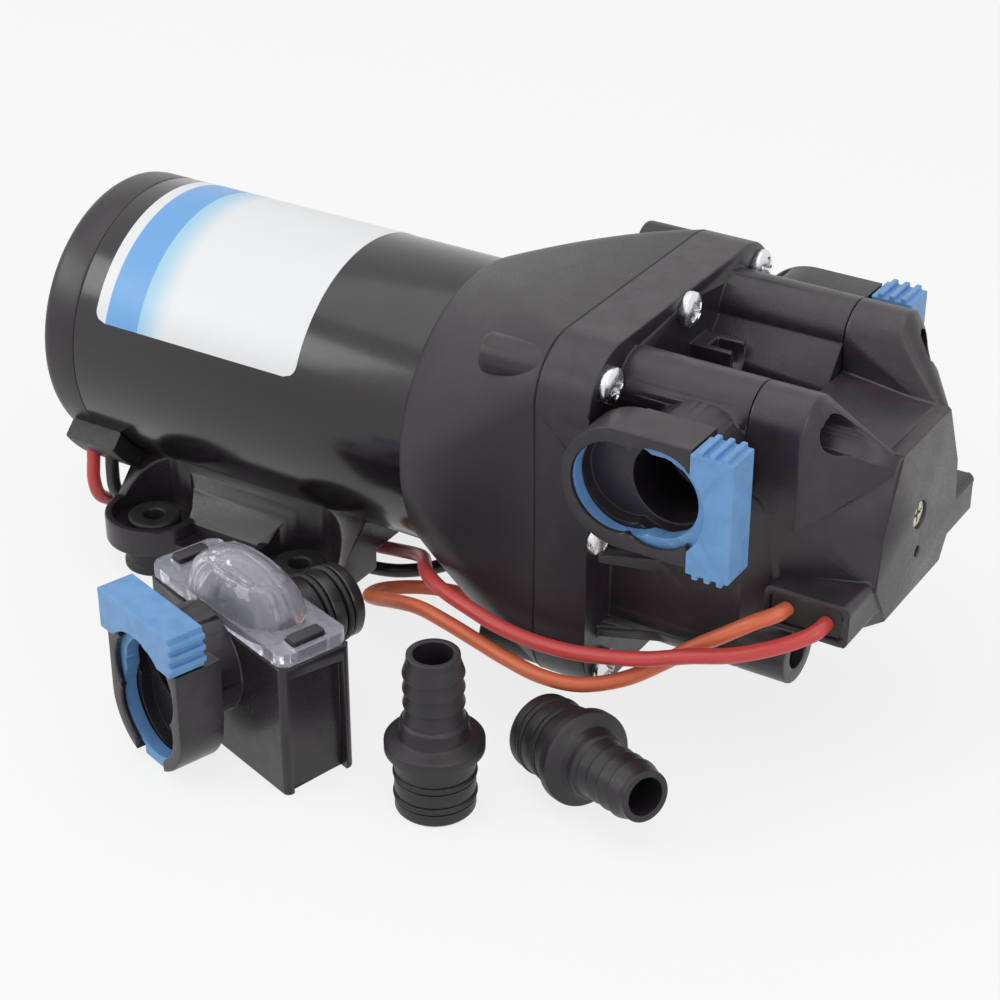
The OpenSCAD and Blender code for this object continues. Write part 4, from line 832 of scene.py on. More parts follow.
def folded_spots(work: bmesh.types.BMesh) -> list[Vector]:
    """Finds edges whose faces lie back on each other, and faces that are twisted.

    Args:
        work: the mesh, whose normals are brought up to date.

    Returns:
        The middle of each.
    """
    work.normal_update()
    back = [(e.verts[0].co + e.verts[1].co) / 2 for e in work.edges
            if len(e.link_faces) == 2 and e.calc_face_angle(0.0) > FOLD and e.calc_length() > LEAST_EDGE]
    twisted = [t[0].face.calc_center_median() for t in work.calc_loop_triangles()
               if normal([loop.vert.co for loop in t]).dot(t[0].face.normal) < 0
               and t[0].face.calc_area() > LEAST_AREA]
    return back + twisted


def room(edge: bmesh.types.BMEdge, face: bmesh.types.BMFace) -> float:
    """Measures how far a face reaches from one of its edges, square to that edge.

    Args:
        edge: the edge.
        face: a face beside it.

    Returns:
        The reach in metres.
    """
    start = edge.verts[0].co
    along = (edge.verts[1].co - start).normalized()
    return max(((v.co - start) - along * (v.co - start).dot(along)).length for v in face.verts)


def dress(piece: Piece, finish: Finish, body: Body, *nodes: str) -> Piece:
    """Gives a piece its finish and body and says which nodes it stands for.

    Args:
        piece: the object.
        finish: its finish.
        body: the body that it rides on.
        nodes: CAD nodes that it replaces.

    Returns:
        The same object.
    """
    piece.data.materials.clear()
    piece.data.materials.append(finish.material())
    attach(piece, body.value)
    if nodes:
        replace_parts(piece, *nodes)
    LOG.info("%s: %s on %s", piece.name, finish.name, body.value)
    return piece


# Stage


@dataclass(frozen=True)
class Lamp:
    """Soft rectangular lamp, in metres and watts."""

    name: str
    where: Point
    width: float
    height: float
    watts: float


@dataclass
class Studio:
    """Camera at the photo's angle, pale floor, white surround and soft lamps."""

    eye: Point = (0.3176, -0.4159, 0.3104)
    aim: Point = (0.060, 0.0, 0.02792)
    lens: float = 86.16
    sensor: float = 36.0
    clip: tuple[float, float] = (0.01, 20.0)
    floor_half: float = 3.0
    floor_colour: Colour = (0.86, 0.86, 0.86)
    floor_glow: float = 0.8
    surround: float = 0.42
    lamps: tuple[Lamp, ...] = (
        Lamp("overhead", (0.0, -0.1, 1.1), 1.3, 1.3, 5.0),
        Lamp("window_left", (-0.9, -0.8, 0.75), 0.9, 0.5, 4.5),
        Lamp("fill_right", (1.0, -0.5, 0.6), 0.7, 0.7, 2.6),
    )

    def aimed(self, data: bpy.types.ID, where: Point) -> Piece:
        """Puts a camera or a lamp at its place, and turns it to the aim.

        Args:
            data: the camera's or lamp's data.
            where: its place in metres.

        Returns:
            The new object.
        """
        piece = bpy.data.objects.new(data.name, data)
        piece.location = where
        piece.rotation_euler = (Vector(self.aim) - Vector(where)).to_track_quat("-Z", "Y").to_euler()
        bpy.context.scene.collection.objects.link(piece)
        return piece

    def camera(self) -> None:
        """Makes the camera and looks from the eye to the aim."""
        data = bpy.data.cameras.new("photo_camera")
        data.lens, data.sensor_width = self.lens, self.sensor
        data.clip_start, data.clip_end = self.clip
        bpy.context.scene.camera = self.aimed(data, self.eye)

    def floor(self) -> None:
        """Makes the floor as a flat grid, lit by the lamps but drawn towards white for the camera."""
        h = self.floor_half
        x, y = np.meshgrid(np.linspace(-h, h, 5), np.linspace(-h, h, 5), indexing="ij")
        mesh = bpy.data.meshes.new("floor")
        points = np.stack([x, y, np.zeros_like(x)], -1).reshape(-1, 3)
        mesh.from_pydata(points.tolist(), [], grid_faces(5, 5, False, False)[:, ::-1].tolist())
        floor = bpy.data.objects.new("floor", mesh)
        bpy.context.scene.collection.objects.link(floor)
        material, sheet = new_material("floor_paper")
        paper = sheet.add("ShaderNodeBsdfDiffuse", {"Color": (*self.floor_colour, 1.0)})
        glow = sheet.add("ShaderNodeEmission", {"Color": PURE_WHITE, "Strength": 1.0})
        seen = sheet.math("MULTIPLY", self.direct(sheet), self.floor_glow)
        sheet.surface(sheet.add("ShaderNodeMixShader", {0: seen, 1: paper.outputs[0], 2: glow.outputs[0]}))
        mesh.materials.append(material)

    @staticmethod
    def direct(sheet: NodeSheet) -> Socket:
        """Tells the rays that show the background from those that light by it.

        Args:
            sheet: sheet of the tree.

        Returns:
            A socket that is 1 for camera, glossy and transmission rays, and 0 for the rest.
        """
        path = sheet.add("ShaderNodeLightPath").outputs
        some = sheet.math("MAXIMUM", path["Is Camera Ray"], path["Is Glossy Ray"])
        return sheet.math("MAXIMUM", some, path["Is Transmission Ray"])

    def world(self) -> None:
        """Makes the surround: white where it is seen, and a plain level where it lights."""
        world = bpy.data.worlds.new("surround")
        bpy.context.scene.world = world
        world.use_nodes = True
        world.node_tree.nodes.clear()
        sheet = NodeSheet(world.node_tree)
        strength = sheet.ramp(self.direct(sheet), 0.0, 1.0, self.surround, 1.0)
        light = sheet.add("ShaderNodeBackground", {"Color": PURE_WHITE, "Strength": strength})
        sheet.surface(light, "ShaderNodeOutputWorld")

    def lights(self) -> None:
        """Makes the soft lamps, each aimed at the pump."""
        for lamp in self.lamps:
            data = bpy.data.lights.new(lamp.name, "AREA")
            data.shape, data.size, data.size_y, data.energy = "RECTANGLE", lamp.width, lamp.height, lamp.watts
            self.aimed(data, lamp.where)

    def build(self) -> None:
        """Builds the stage, and sets the plain view transform."""
        bpy.context.scene.view_settings.view_transform = "Standard"
        self.floor()
        self.world()
        self.lights()


# Leads


class FarEnd(str, Enum):
    """What a lead ends in."""

    OBJECT = "object"
    BARE = "bare"


@dataclass
class Lead:
    """One insulated lead along its route, in millimetres, with its stripped end where it has one."""

    name: str
    finish: Finish
    route: Points
    far_end: FarEnd
    end_node: str | None = None
    diameter: float = 3.4
    steps: int = 8
    bare_len: float = 8.0
    bare_r: float = 0.9
    bare_tucked: float = 0.4
    strands: int = 7
    strand_twist: float = 0.55
    strand_press: float = 0.98

    def path(self) -> np.ndarray:
        """Draws a smooth path through the route's points: each span is a cubic of the four about it.

        Returns:
            The path's points in millimetres.
        """
        p = np.asarray(self.route, float)
        p = np.concatenate([2 * p[:1] - p[1:2], p, 2 * p[-1:] - p[-2:-1]])
        before, start, end, after = (p[k:len(p) - 3 + k, None] for k in range(4))
        t = np.linspace(0, 1, self.steps, endpoint=False)[None, :, None]
        square = 2 * before - 5 * start + 4 * end - after
        cube = 3 * start - before - 3 * end + after
        curve = 0.5 * (2 * start + (end - before) * t + square * t**2 + cube * t**3)
        return np.concatenate([curve.reshape(-1, 3), p[-2:-1]])

    def stripped(self, path: np.ndarray) -> Piece:
        """Makes the bare copper: strands on a helix about the lead's last direction, each a round tube.

        Args:
            path: the lead's path.

        Returns:
            The new object.
        """
        frame_at = place(path[-1], path[-1] - path[-2], (0, 0, 1))
        strand = self.bare_r / 3
        turn, s, around = np.meshgrid(
            np.arange(self.strands), np.linspace(-self.bare_tucked, self.bare_len, 24),
            np.linspace(0, FULL_TURN, 10, endpoint=False), indexing="ij")
        lay = np.where(turn > 0, turn * FULL_TURN / (self.strands - 1), 0) + s * self.strand_twist
        pitch = np.where(turn > 0, 2 * strand * self.strand_press, 0)
        across = pitch * np.cos(lay) + strand * np.cos(around)
        up = pitch * np.sin(lay) + strand * np.sin(around)
        tubes = [Surface.from_grid(grid, caps=True) for grid in np.stack([across, up, s], -1)]
        return tubes[0].joined(*tubes[1:]).placed(frame_at[None]).piece(f"{self.end_node}_strands")

    def build(self) -> None:
        path = self.path()
        data = bpy.data.curves.new(f"{self.name}_insulation", "CURVE")
        data.dimensions = "3D"
        data.bevel_depth = self.diameter / 2 * MM
        data.bevel_resolution = 5
        data.use_fill_caps = True
        spline = data.splines.new("POLY")
        spline.points.add(len(path) - 1)
        spline.points.foreach_set("co", np.concatenate([path * MM, np.ones((len(path), 1))], 1).ravel())
        piece = bpy.data.objects.new(data.name, data)
        bpy.context.scene.collection.objects.link(piece)
        dress(piece, self.finish, Body.PUMP, self.name)
        with_pieces = []
        if self.end_node:
            with_pieces = [dress(self.stripped(path), COPPER, Body.PUMP, self.end_node)]
        length = float(np.linalg.norm(np.diff(path, axis=0), axis=1).sum()) * MM
        LOG.info("%s: %.3f m long", piece.name, length)


RED_ROUTE = (
    (-42, -26.5, 27), (-42, -27, 22), (-42.5, -27, 16), (-43, -24.5, 10), (-42.5, -18, 6),
    (-38.5, -9.5, 4.2), (-31, -3.5, 4), (-22, -1.5, 4), (-13, -1, 4), (-4, -1, 4), (5, -1, 4),
    (14, -1, 4), (23, -1, 4.5), (32, -2.5, 6.5), (40, -6.5, 10), (46.5, -13, 14.5), (52, -20.5, 19),
    (57.5, -28.5, 23.5), (63.5, -36, 27), (71, -41.5, 28.5), (79.5, -44.5, 28.5), (88, -46, 27.5),
    (97, -46.5, 27), (106, -46.5, 27.5), (115, -46, 29), (124, -45, 31), (133, -43.5, 34),
    (142, -42, 36.5), (150.5, -39.5, 40), (157, -36, 43.5), (158.5, -31, 45))
ORANGE_ROUTE = (
    (149.5, -31, 45.2), (148.5, -35, 45), (144.5, -37.5, 43), (138.5, -38.5, 38.5), (132, -39, 33.5),
    (125.5, -40.5, 28), (118, -43.5, 23), (109, -46.5, 20), (100, -47.5, 19.5), (91, -46.5, 20),
    (82, -45, 21), (73, -43.5, 22), (64, -41, 21.5), (55.5, -38.5, 19), (47.5, -34.5, 15),
    (41.5, -28, 10.5), (40.5, -20, 7.5), (46, -14, 6.5), (54.5, -12, 7), (64, -9, 5.5),
    (72.5, -3.5, 3.5), (78, 5, 2.5), (79.5, 14, 2.2), (78, 23, 2.2), (74, 31, 2.2), (67.5, 37, 2.2),
    (60, 40, 2.2))
BLACK_ROUTE = (
    (-37, -25.5, 25.5), (-37, -26, 20.5), (-37.5, -25, 14), (-38, -20.5, 8.5), (-36.5, -13, 5),
    (-30, -9, 4), (-21, -8, 4), (-12, -8, 4), (-3, -8, 4), (6, -8, 4), (15, -8, 3.5), (24, -7.5, 2.5),
    (33, -5, 2.2), (40, 1, 2.2), (44, 9, 2.2), (45, 18, 2.2), (44.5, 27, 2.2), (43, 36, 2.2),
    (39, 44, 2.2), (32, 49.5, 2.2), (23.5, 51.5, 2.2), (15, 51.5, 2.2))


# Motor and drive housing


@dataclass
class Motor:
    """Painted can with its label, the rear cap and the lead gland."""

    radius: float = 34.0
    wall: float = 2.0
    seam_x: float = -39.0
    rear_x: float = -49.0
    front_x: float = 61.0
    edge: float = 0.45
    lip_gap: float = 0.1
    lip_len: float = 3.0
    cap_floor: float = 3.0
    cap_round: float = 2.6
    dish: float = 0.9
    dish_r: float = 8.5
    dish_slope: float = 0.8
    hub_r: float = 0.6
    bush_r: float = 8.1
    boss_r: float = 11.1
    boss_len: float = 12.0
    label_from: float = -33.0
    label_to: float = 25.0
    label_low: float = 21.0
    label_high: float = 150.0
    label_corner: float = 3.0
    film: float = 0.09
    film_sunk: float = 0.2

    def can(self) -> Piece:
        """Makes the can: its wall's outline with rounded ends, turned about the shaft.

        Returns:
            The new object.
        """
        inner, length = self.radius - self.wall, self.front_x - self.seam_x
        outline = filleted([(inner, 0), (self.radius, 0), (self.radius, length), (inner, length)], self.edge)
        return turned(outline, 160).placed(on_shaft(self.seam_x)[None]).piece("motor_can_painted")

    def cap(self) -> Piece:
        """Makes the rear cap, turned about the shaft: a cup with a rounded rim, a dish and a bush boss.

        Returns:
            The new object.
        """
        r, lip, depth = self.radius, self.radius - self.wall - self.lip_gap, self.seam_x - self.rear_x
        inside, lip_end = lip - self.wall, depth + self.lip_len
        floor, dish, hub = self.cap_floor, self.dish, self.hub_r
        corners = [
            (hub, dish), (self.dish_r, dish), (self.dish_r + self.dish_slope, 0), (r, 0), (r, depth),
            (lip, depth), (lip, lip_end), (inside, lip_end), (inside, floor), (self.boss_r, floor),
            (self.boss_r, self.boss_len), (self.bush_r, self.boss_len), (self.bush_r, floor), (hub, floor)]
        radii = [0.05, 0.5, 0.5, self.cap_round, self.edge, 0.1, 0.3, 0.3, 0.5, 0.5, 0.3, 0.1, 0.1, 0.05]
        outline = filleted(corners, radii)
        plug_r = hub + 0.02
        disc = filleted([(0.01, dish), (plug_r, dish), (plug_r, floor), (0.01, floor)], 0.001, 2)
        whole = turned(outline, 160).joined(turned(disc, 24))
        return whole.placed(on_shaft(self.rear_x)[None]).piece("rear_cap_turned")

    def label(self) -> Piece:
        """Makes the label: a film in angle and length, drawn in by a quarter circle at each corner.

        Returns:
            The new object.
        """
        angle = np.radians(np.linspace(self.label_low, self.label_high, 120))[:, None]
        end = np.minimum(angle - angle.min(), angle.max() - angle) * self.radius
        c = self.label_corner
        inset = np.where(end < c, c - np.sqrt(np.maximum(c**2 - (c - end) ** 2, 0)), 0)
        part = np.linspace(0, 1, 40)[None]
        x = self.label_from + inset + (self.label_to - self.label_from - 2 * inset) * part

        def at(radius: float) -> Grid:
            """Returns the film's points at one radius."""
            return np.stack([x, -radius * np.cos(angle) + 0 * x, AXIS_H + radius * np.sin(angle) + 0 * x], -1)

        film = Surface.patch(at(self.radius + self.film), at(self.radius - self.film_sunk))
        return film.piece("rating_label")

    def build(self) -> None:
        """Builds and dresses the motor's outside."""
        dress(self.can(), CAN_PAINT, Body.PUMP, "motor_can")
        dress(self.cap(), CAP_PAINT, Body.PUMP, "motor_rear_cap")
        dress(self.label(), LABEL, Body.PUMP)
        dress(softened("lead_gland", 0.6), GLAND, Body.PUMP)


@dataclass
class DriveHousing:
    """Bell that grows from the round can to the square flange, with its four corner bosses."""

    rear_x: float = 55.0
    front_x: float = 94.0
    rear_r: float = 34.8
    half: float = 41.5
    corner: float = 13.0
    lip: float = 1.2
    swell: float = 1.9
    round_share: float = 0.99
    inner_share: float = 0.995
    rim: float = 0.3
    cavity_r: float = 31.0
    web_x: float = 64.0
    web_hole_r: float = 13.0
    seat_len: float = 6.0
    bore_r: float = 34.1
    boss_r: float = 4.5
    boss_len: float = 16.0
    boss_pitch: float = 48.5
    arc_steps: int = 20

    def section(self, x: np.ndarray, half: np.ndarray, corner: np.ndarray) -> Grid:
        """Draws rounded squares: corner centres at half less corner, plus corner times (cos, sin).

        Args:
            x: place of each along the shaft.
            half: half width of each.
            corner: corner radius of each.

        Returns:
            A row of points for each square.
        """
        q = np.repeat(np.arange(4), self.arc_steps)
        a = (q + np.tile(np.linspace(0, 1, self.arc_steps), 4)) * math.pi / 2
        sy, sz = np.sign(np.cos((q + 0.5) * math.pi / 2)), np.sign(np.sin((q + 0.5) * math.pi / 2))
        core = (half - corner)[:, None]
        y = core * sy + corner[:, None] * np.cos(a)
        z = core * sz + corner[:, None] * np.sin(a)
        return np.stack([np.broadcast_to(x[:, None], y.shape), y, z + AXIS_H], -1)

    def shell(self) -> Surface:
        """Makes the bell: its half width eases out, its corner share falls evenly, and it is hollow.

        Returns:
            The closed surface.
        """
        s = np.linspace(0, 1, 48)
        half = self.rear_r + (self.half - self.rear_r) * (1 - (1 - s) ** self.swell)
        end_share = self.corner / self.half
        share = self.round_share - (self.round_share - end_share) * s
        x = self.rear_x + (self.front_x - self.rear_x) * s
        turn_in = np.clip(1 - (x - self.rear_x) / self.lip, 0, 1)
        half -= self.lip * 0.5 * (1 - np.sqrt(1 - turn_in**2))
        x[-1] -= self.rim
        seat_x = self.rear_x + self.seat_len
        inside = np.array([
            (self.front_x, self.half - self.rim, end_share), (self.front_x, self.cavity_r, self.inner_share),
            (self.web_x, self.cavity_r, self.inner_share), (self.web_x, self.web_hole_r, self.inner_share),
            (seat_x, self.web_hole_r, self.inner_share), (seat_x, self.bore_r, self.inner_share),
            (self.rear_x, self.bore_r, self.inner_share)])
        x, half, share = np.concatenate([np.stack([x, half, share], -1), inside]).T
        rows = self.section(x, half, half * share)
        return Surface.from_grid(rows, wrap_rows=True)

    def bosses(self) -> Surface:
        """Makes the four corner bosses: round bars with a domed rear end, set on the diagonals.

        Returns:
            The bosses as one surface.
        """
        r, n = self.boss_r, self.boss_len
        outline = filleted([(0.05, 0), (r, 0), (r, n), (0.05, n)], [0.02, 1.4, 0.3, 0.02], 7)
        d = self.boss_pitch / math.sqrt(2)
        spots = [place((self.front_x - n, sy * d, AXIS_H + sz * d), (1, 0, 0), (0, 0, -1))
                 for sy in (-1, 1) for sz in (-1, 1)]
        return turned(outline, 40).placed(np.array(spots))

    def build(self) -> None:
        """Builds and dresses the housing."""
        dress(self.shell().piece("drive_housing_bell"), HOUSING, Body.PUMP, "drive_housing")
        dress(self.bosses().piece("drive_housing_bosses"), HOUSING, Body.PUMP, "drive_housing")


# Pump head, switch cover and clips


@dataclass
class PumpHead:
    """Moulded head with its ports, the switch cover, their screws and the slide clips."""

    edge: float = 0.55
    flange_x: float = 107.0
    screw_r: float = 1.9
    head_r: float = 3.99
    head_h: float = 2.85
    screw_len: float = 22.0
    corner_pitch: float = 48.5
    side_pitch: float = 37.6
    turns: tuple[float, ...] = (0.2, 0.9, 0.4, 1.2, 0.7, 0.1, 1.0, 0.5)
    spring_turns: int = 5
    spring_wire: float = 0.86
    plunger_travel: float = 1.2

    def screws(self) -> Piece:
        """Makes the eight head screws, each turned its own way about its axis.

        Returns:
            The new object.
        """
        angle = np.arange(8) * math.pi / 4
        pitch = np.where(np.arange(8) % 2 == 1, self.corner_pitch, self.side_pitch)
        y, z = pitch * np.sin(angle), AXIS_H - pitch * np.cos(angle)
        spots = [place((self.flange_x, y[k], z[k]), (1, 0, 0), (0, math.cos(t), math.sin(t)))
                 for k, t in enumerate(self.turns)]
        head = pan_head(self.head_r, self.head_h, self.screw_r, self.screw_len)
        return head.placed(np.array(spots)).piece("head_screws_zinc")

    def spring(self) -> Piece:
        """Makes the switch spring.

        A round wire is carried along a helix inside the node's box. At angle a the helix lies at r cos a and
        r sin a across, and goes along by the same step for each turn. The wire's circle is spanned by the
        outward direction and the cross product of that with the helix's own direction.

        Returns:
            The new object.
        """
        low, high = (np.array(corner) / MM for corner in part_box("switch_spring"))
        wire_r, middle = self.spring_wire / 2, (low + high) / 2
        radius = (high - low)[1:].max() / 2 - wire_r
        a = np.linspace(0, FULL_TURN * self.spring_turns, 40 * self.spring_turns + 1)[:, None]
        pitch = (high[0] - low[0] - self.spring_wire) / (FULL_TURN * self.spring_turns)
        out = np.concatenate([0 * a, np.cos(a), np.sin(a)], 1)
        path = np.concatenate([low[0] + wire_r + pitch * a, middle[1:] + radius * out[:, 1:]], 1)
        along = np.concatenate([0 * a + pitch, -radius * np.sin(a), radius * np.cos(a)], 1)
        side = np.cross(along / np.linalg.norm(along, axis=1, keepdims=True), out)
        b = np.linspace(0, FULL_TURN, 14, endpoint=False)[:, None]
        ring = np.cos(b) * out[:, None] + np.sin(b) * side[:, None]
        wire = Surface.from_grid(path[:, None] + wire_r * ring, caps=True)
        piece = dress(wire.piece("switch_spring_wire"), STEEL, Body.PUMP, "switch_spring")
        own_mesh(piece)
        return piece

    def build(self) -> None:
        """Builds and dresses the head."""
        dress(softened("pump_head", self.edge), HEAD, Body.PUMP)
        dress(softened("switch_cover", self.edge), COVER, Body.PUMP)
        dress(softened("wire_gland", 0.25), GLAND, Body.PUMP)
        dress(self.screws(), ZINC, Body.PUMP, "head_screws")
        dress(softened("adjusting_screw", 0.15), NICKEL, Body.ADJUSTER)
        self.spring()
        dress(softened("inlet_clip", 0.3), BLUE, Body.INLET_CLIP)
        dress(softened("outlet_clip", 0.3), BLUE, Body.OUTLET_CLIP)


@dataclass
class Base:
    """Saddle bracket and its rubber feet."""

    edge: float = 0.5
    foot_dx: float = 22.0
    foot_dy: float = 29.0
    foot_bore: float = 2.5
    pad_r: float = 8.0
    waist_r: float = 7.4
    neck_r: float = 4.5
    cap_r: float = 6.5
    foot_h: float = 13.5

    def feet(self) -> Piece:
        """Makes the four feet: a pad, a neck and a cap with a bore, turned about each hole.

        Returns:
            The new object.
        """
        corners = [
            (self.foot_bore, 0), (self.pad_r, 0), (self.pad_r, 1.6), (self.waist_r, 2.4), (self.waist_r, 8),
            (self.neck_r, 8), (self.neck_r, 11), (self.cap_r, 11), (self.cap_r, self.foot_h),
            (self.foot_bore, self.foot_h)]
        outline = filleted(corners, [0.4, 0.6, 0.4, 0.4, 0.5, 0.1, 0.1, 0.3, 0.9, 0.7])
        spots = [place((sx * self.foot_dx, sy * self.foot_dy, 0), (0, 0, 1), (1, 0, 0))
                 for sx in (-1, 1) for sy in (-1, 1)]
        return turned(outline, 72).placed(np.array(spots)).piece("rubber_feet_turned")

    def build(self) -> None:
        """Builds and dresses the base."""
        dress(softened("base_bracket", self.edge), BASE, Body.PUMP)
        dress(self.feet(), RUBBER, Body.PUMP, "rubber_feet")


# Loose pieces


def lying_place(x: float, y: float, yaw: float, gap: float = 0.05) -> np.ndarray:
    """Lays a fitting down on its flange and its lower ring.

    Args:
        x: place of its end in millimetres.
        y: place of its end in millimetres.
        yaw: its turn on the floor in degrees.
        gap: height above the floor in millimetres.

    Returns:
        The fitting's 4 by 4 place.
    """
    ring_r, ring_z = GROOVE_R + RING_T + RING_SLACK, RING_HEIGHTS[0]
    tilt, turn = math.atan((FLANGE_R - ring_r) / (FLANGE_Z - ring_z)), math.radians(yaw)
    level = (ring_r - ring_z * math.tan(tilt)) * math.cos(tilt) + gap
    along = (math.cos(tilt) * math.cos(turn), math.cos(tilt) * math.sin(turn), math.sin(tilt))
    return place((x, y, level), along, (0, 0, -1))


@dataclass
class HoseFitting:
    """Hose fitting with a barbed tail, a flange and a spigot with two O-rings."""

    name: str
    rings: str
    body: Body
    at: np.ndarray
    spigot_r: float = 8.7
    groove_half: float = 1.0
    neck_r: float = 7.3
    barbs: int = 4
    hose_r: float = 6.6
    barb_drop: float = 0.9
    pitch: float = 3.625
    hose_z: float = 22.5
    length: float = 38.5
    bore: float = 4.2

    def outline(self) -> np.ndarray:
        """Draws the half section: spigot, grooves, flange, neck, saw-tooth barbs and the bore.

        Returns:
            Pairs of radius and height, with rounded corners.
        """
        r, g, half = self.spigot_r, GROOVE_R, self.groove_half
        grooves = [p for z in RING_HEIGHTS
                   for p in ((r, z - half), (g, z - half), (g, z + half), (r, z + half))]
        tip = self.hose_r - self.barb_drop
        barbs = [p for z in self.hose_z + self.pitch * np.arange(self.barbs)
                 for p in ((self.hose_r, z + 0.2), (self.hose_r, z + 0.7), (tip, z + self.pitch))]
        corners = [
            (self.bore, 0), (r - 0.8, 0), (r, 0.8), *grooves, (r, FLANGE_Z), (FLANGE_R, FLANGE_Z),
            (FLANGE_R, 17.5), (9.4, 18), (7.7, 18.7), (self.neck_r, 20.6), (self.neck_r, 22.2), *barbs,
            (tip, self.length), (self.bore, self.length)]
        return filleted(corners, 0.3, 4)

    def build(self) -> None:
        """Builds and dresses the fitting and its rings."""
        body = turned(self.outline(), 96).placed(self.at[None]).piece(f"{self.name}_turned")
        dress(body, FITTING, self.body, self.name)
        rings = spigot_rings().placed(self.at[None]).piece(f"{self.rings}_round")
        dress(rings, RUBBER, self.body, self.rings)


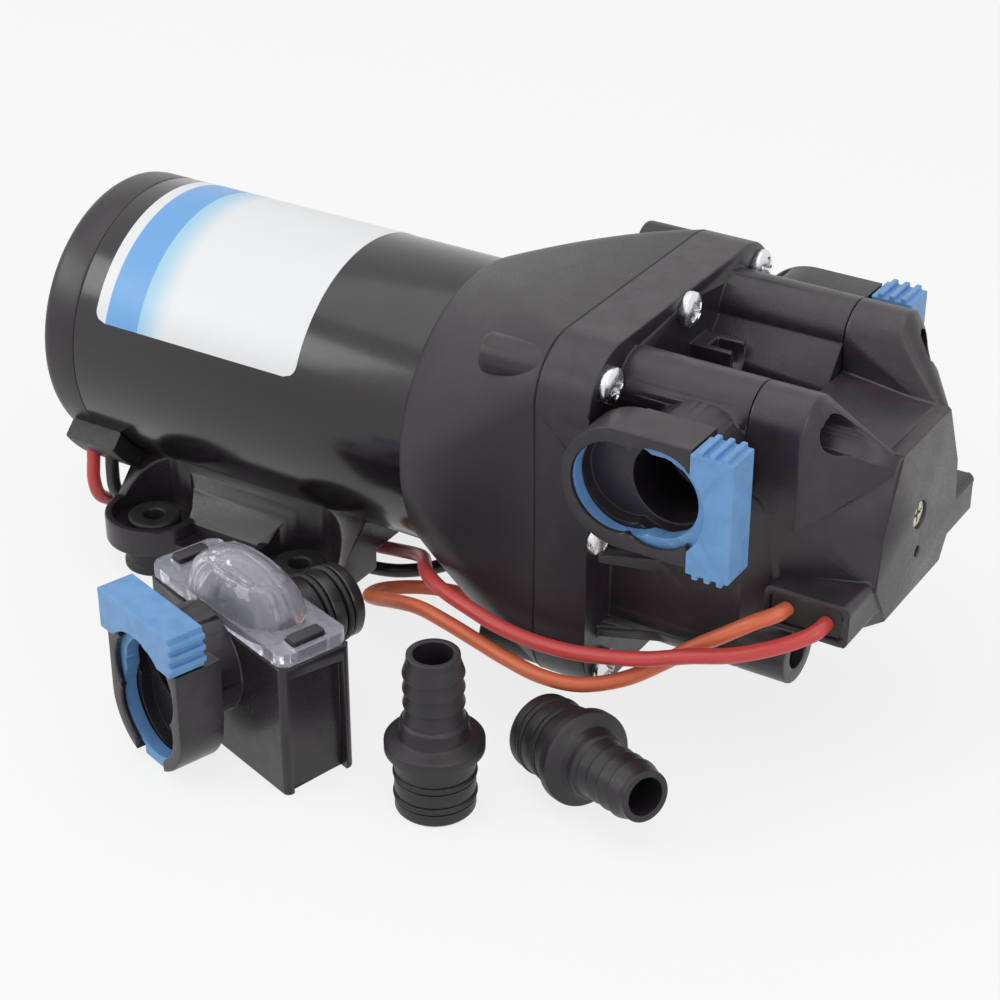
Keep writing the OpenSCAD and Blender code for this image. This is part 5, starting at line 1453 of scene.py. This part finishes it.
@dataclass
class Strainer:
    """Strainer box with its port, clear lid, screen and clip."""

    at: Point = (15.5, -75.0, 0.0)
    yaw: float = -18.5
    length: float = 50.0
    width: float = 18.0
    edge: float = 0.5
    lid_low: float = 32.5
    lid_top: float = 35.5
    dome: float = 8.5
    dome_reach: tuple[float, float] = (16.6, 8.45)
    dome_wall: float = 1.7
    lug: float = 7.0
    window: tuple[float, float] = (4.0, 8.6)
    lug_chamfer: float = 2.2
    oval: float = 2.6
    pleats: int = 22
    pleat_share: float = 0.03
    ridge: float = 0.4
    ridge_at: float = 0.66
    ridge_spread: float = 0.05
    panel: tuple[float, float] = (9.5, 4.0)
    panel_h: float = 0.45
    panel_edge: float = 0.8
    side_gap: float = 0.3
    lid_sharp: float = math.radians(40)
    spigot_end: Point = (23.0, 36.0, 23.0)

    def place(self) -> np.ndarray:
        """Returns the strainer's place on the floor."""
        turn = math.radians(self.yaw)
        return place(self.at, (0, 0, 1), (math.cos(turn), math.sin(turn), 0))

    def lid(self) -> Piece:
        """Makes the lid: a flat rim with a window in each lug, and an oval dome over a hollow.

        With s the oval distance (|x/a|^n + |y/b|^n)^(1/n), the dome's height is (1 - s^4)^0.6, and pleats add
        a small cosine of the angle towards the rim. An oval ridge, a bell curve of s, runs round the crown,
        and a flat panel stands a little above it. The underside is the same dome, a wall smaller.

        Returns:
            The new object.
        """
        half_l, half_w = self.length / 2, self.width / 2 - self.side_gap
        window_from = half_l - self.lug / 2 - self.window[0] / 2
        window_to = window_from + self.window[0]
        spans = ((0, window_from, 90), (window_from, window_to, 12), (window_to, half_l, 10))
        along = np.concatenate([*(np.linspace(*span, endpoint=False) for span in spans), [half_l]])
        across = np.concatenate([np.linspace(0, self.window[1] / 2, 22, endpoint=False),
                                 np.linspace(self.window[1] / 2, half_w, 30)])
        u = np.concatenate([-along[:0:-1], along])[:, None]
        v = np.concatenate([-across[:0:-1], across])[None]
        end = np.clip(abs(u) - (half_l - self.lug_chamfer), 0, None)
        x, y = u + 0 * v, v * (1 - end**2 / (self.lug_chamfer * half_w))

        def rise(inset: float, height: float, ridge: float) -> Grid:
            """Works out the dome over the plan, with its oval ridge.

            Args:
                inset: how far the oval is drawn in.
                height: height of the dome.
                ridge: height of the ridge.

            Returns:
                The heights.
            """
            a, b = (reach - inset for reach in self.dome_reach)
            s = (abs(x / a) ** self.oval + abs(y / b) ** self.oval) ** (1 / self.oval)
            wave = np.cos(self.pleats * np.arctan2(y / b, x / a)) * np.clip(s, 0, 1) ** 4
            dome = height * np.clip(1 - s**4, 0, None) ** 0.6 * (1 + self.pleat_share * wave)
            return dome + ridge * np.exp(-(((s - self.ridge_at) / self.ridge_spread) ** 2))

        outside = np.maximum(abs(x) - self.panel[0], abs(y) - self.panel[1])
        crown = self.panel_h * np.clip(0.5 - outside / self.panel_edge, 0, 1)
        top = self.lid_top + rise(0, self.dome - self.panel_h, self.ridge) + crown
        low = self.lid_low + rise(self.dome_wall, self.lid_top - self.lid_low + self.dome - self.dome_wall, 0)
        mid_u, mid_v = abs(u[:-1] + u[1:]) / 2, abs(v[:, :-1] + v[:, 1:]) / 2
        in_window = (mid_u > window_from) & (mid_u < window_to) & (mid_v < self.window[1] / 2)
        shell = slab(x + half_l, y + self.width / 2, top, low, ~in_window)
        return shell.placed(self.place()[None]).piece("strainer_lid_domed", self.lid_sharp)

    def build(self) -> None:
        """Builds and dresses the strainer."""
        dress(softened("strainer_body", self.edge), STRAINER, Body.STRAINER)
        dress(softened("strainer_clip", 0.3), BLUE, Body.STRAINER_CLIP)
        dress(self.lid(), CLEAR, Body.STRAINER_COVER, "strainer_lid")
        end = self.place() @ place(self.spigot_end, (0, -1, 0), (1, 0, 0))
        rings = spigot_rings().placed(end[None]).piece("strainer_rings_round")
        dress(rings, RUBBER, Body.STRAINER, "strainer_rings")


@dataclass
class CarriedNodes:
    """CAD nodes that keep their own shape, most of them inside, with the finish of their material."""

    finishes: tuple[Finish, ...] = (
        CAN_PAINT, HEAD, RUBBER, BLUE, WHITE, CLEAR, ZINC, STEEL, CAST, COPPER, BRONZE, FERRITE, CARD, CARBON,
        RED, ORANGE, BLACK_PVC)

    def build(self) -> None:
        """Gives every node that still shows the finish of its slot in the record."""
        by_slot = {finish.slot.value: finish for finish in self.finishes}
        slots = {part["node"]: part["material_slot"] for part in frame["record"]["subparts"]}
        for name, node in frame["nodes"].items():
            if node.hide_render:
                continue
            finish = by_slot[slots[name]]
            node.data.materials.clear()
            node.data.materials.append(finish.material())
            LOG.info("%s: %s, as packed", name, finish.name)


def main() -> None:
    """Builds the camera and the leads, then each sub-assembly."""
    logging.basicConfig(level=logging.INFO, format="%(name)s %(message)s")
    studio = Studio()
    studio.camera()
    Lead("red_lead", RED, RED_ROUTE, FarEnd.OBJECT).build()
    Lead("orange_lead", ORANGE, ORANGE_ROUTE, FarEnd.BARE, "orange_lead_end").build()
    Lead("black_lead", BLACK_PVC, BLACK_ROUTE, FarEnd.BARE, "black_lead_end").build()
    studio.build()
    standing = place((91, -76, 0), (0, 0, 1), (1, 0, 0))
    lying = lying_place(102, -51, -25)
    for assembly in (
        Motor(), DriveHousing(), PumpHead(), Base(),
        HoseFitting("hose_fitting_a", "fitting_a_rings", Body.STANDING_FITTING, standing),
        HoseFitting("hose_fitting_b", "fitting_b_rings", Body.LYING_FITTING, lying),
        Strainer(), CarriedNodes(),
    ):
        assembly.build()


if __name__ == "__main__":
    main()
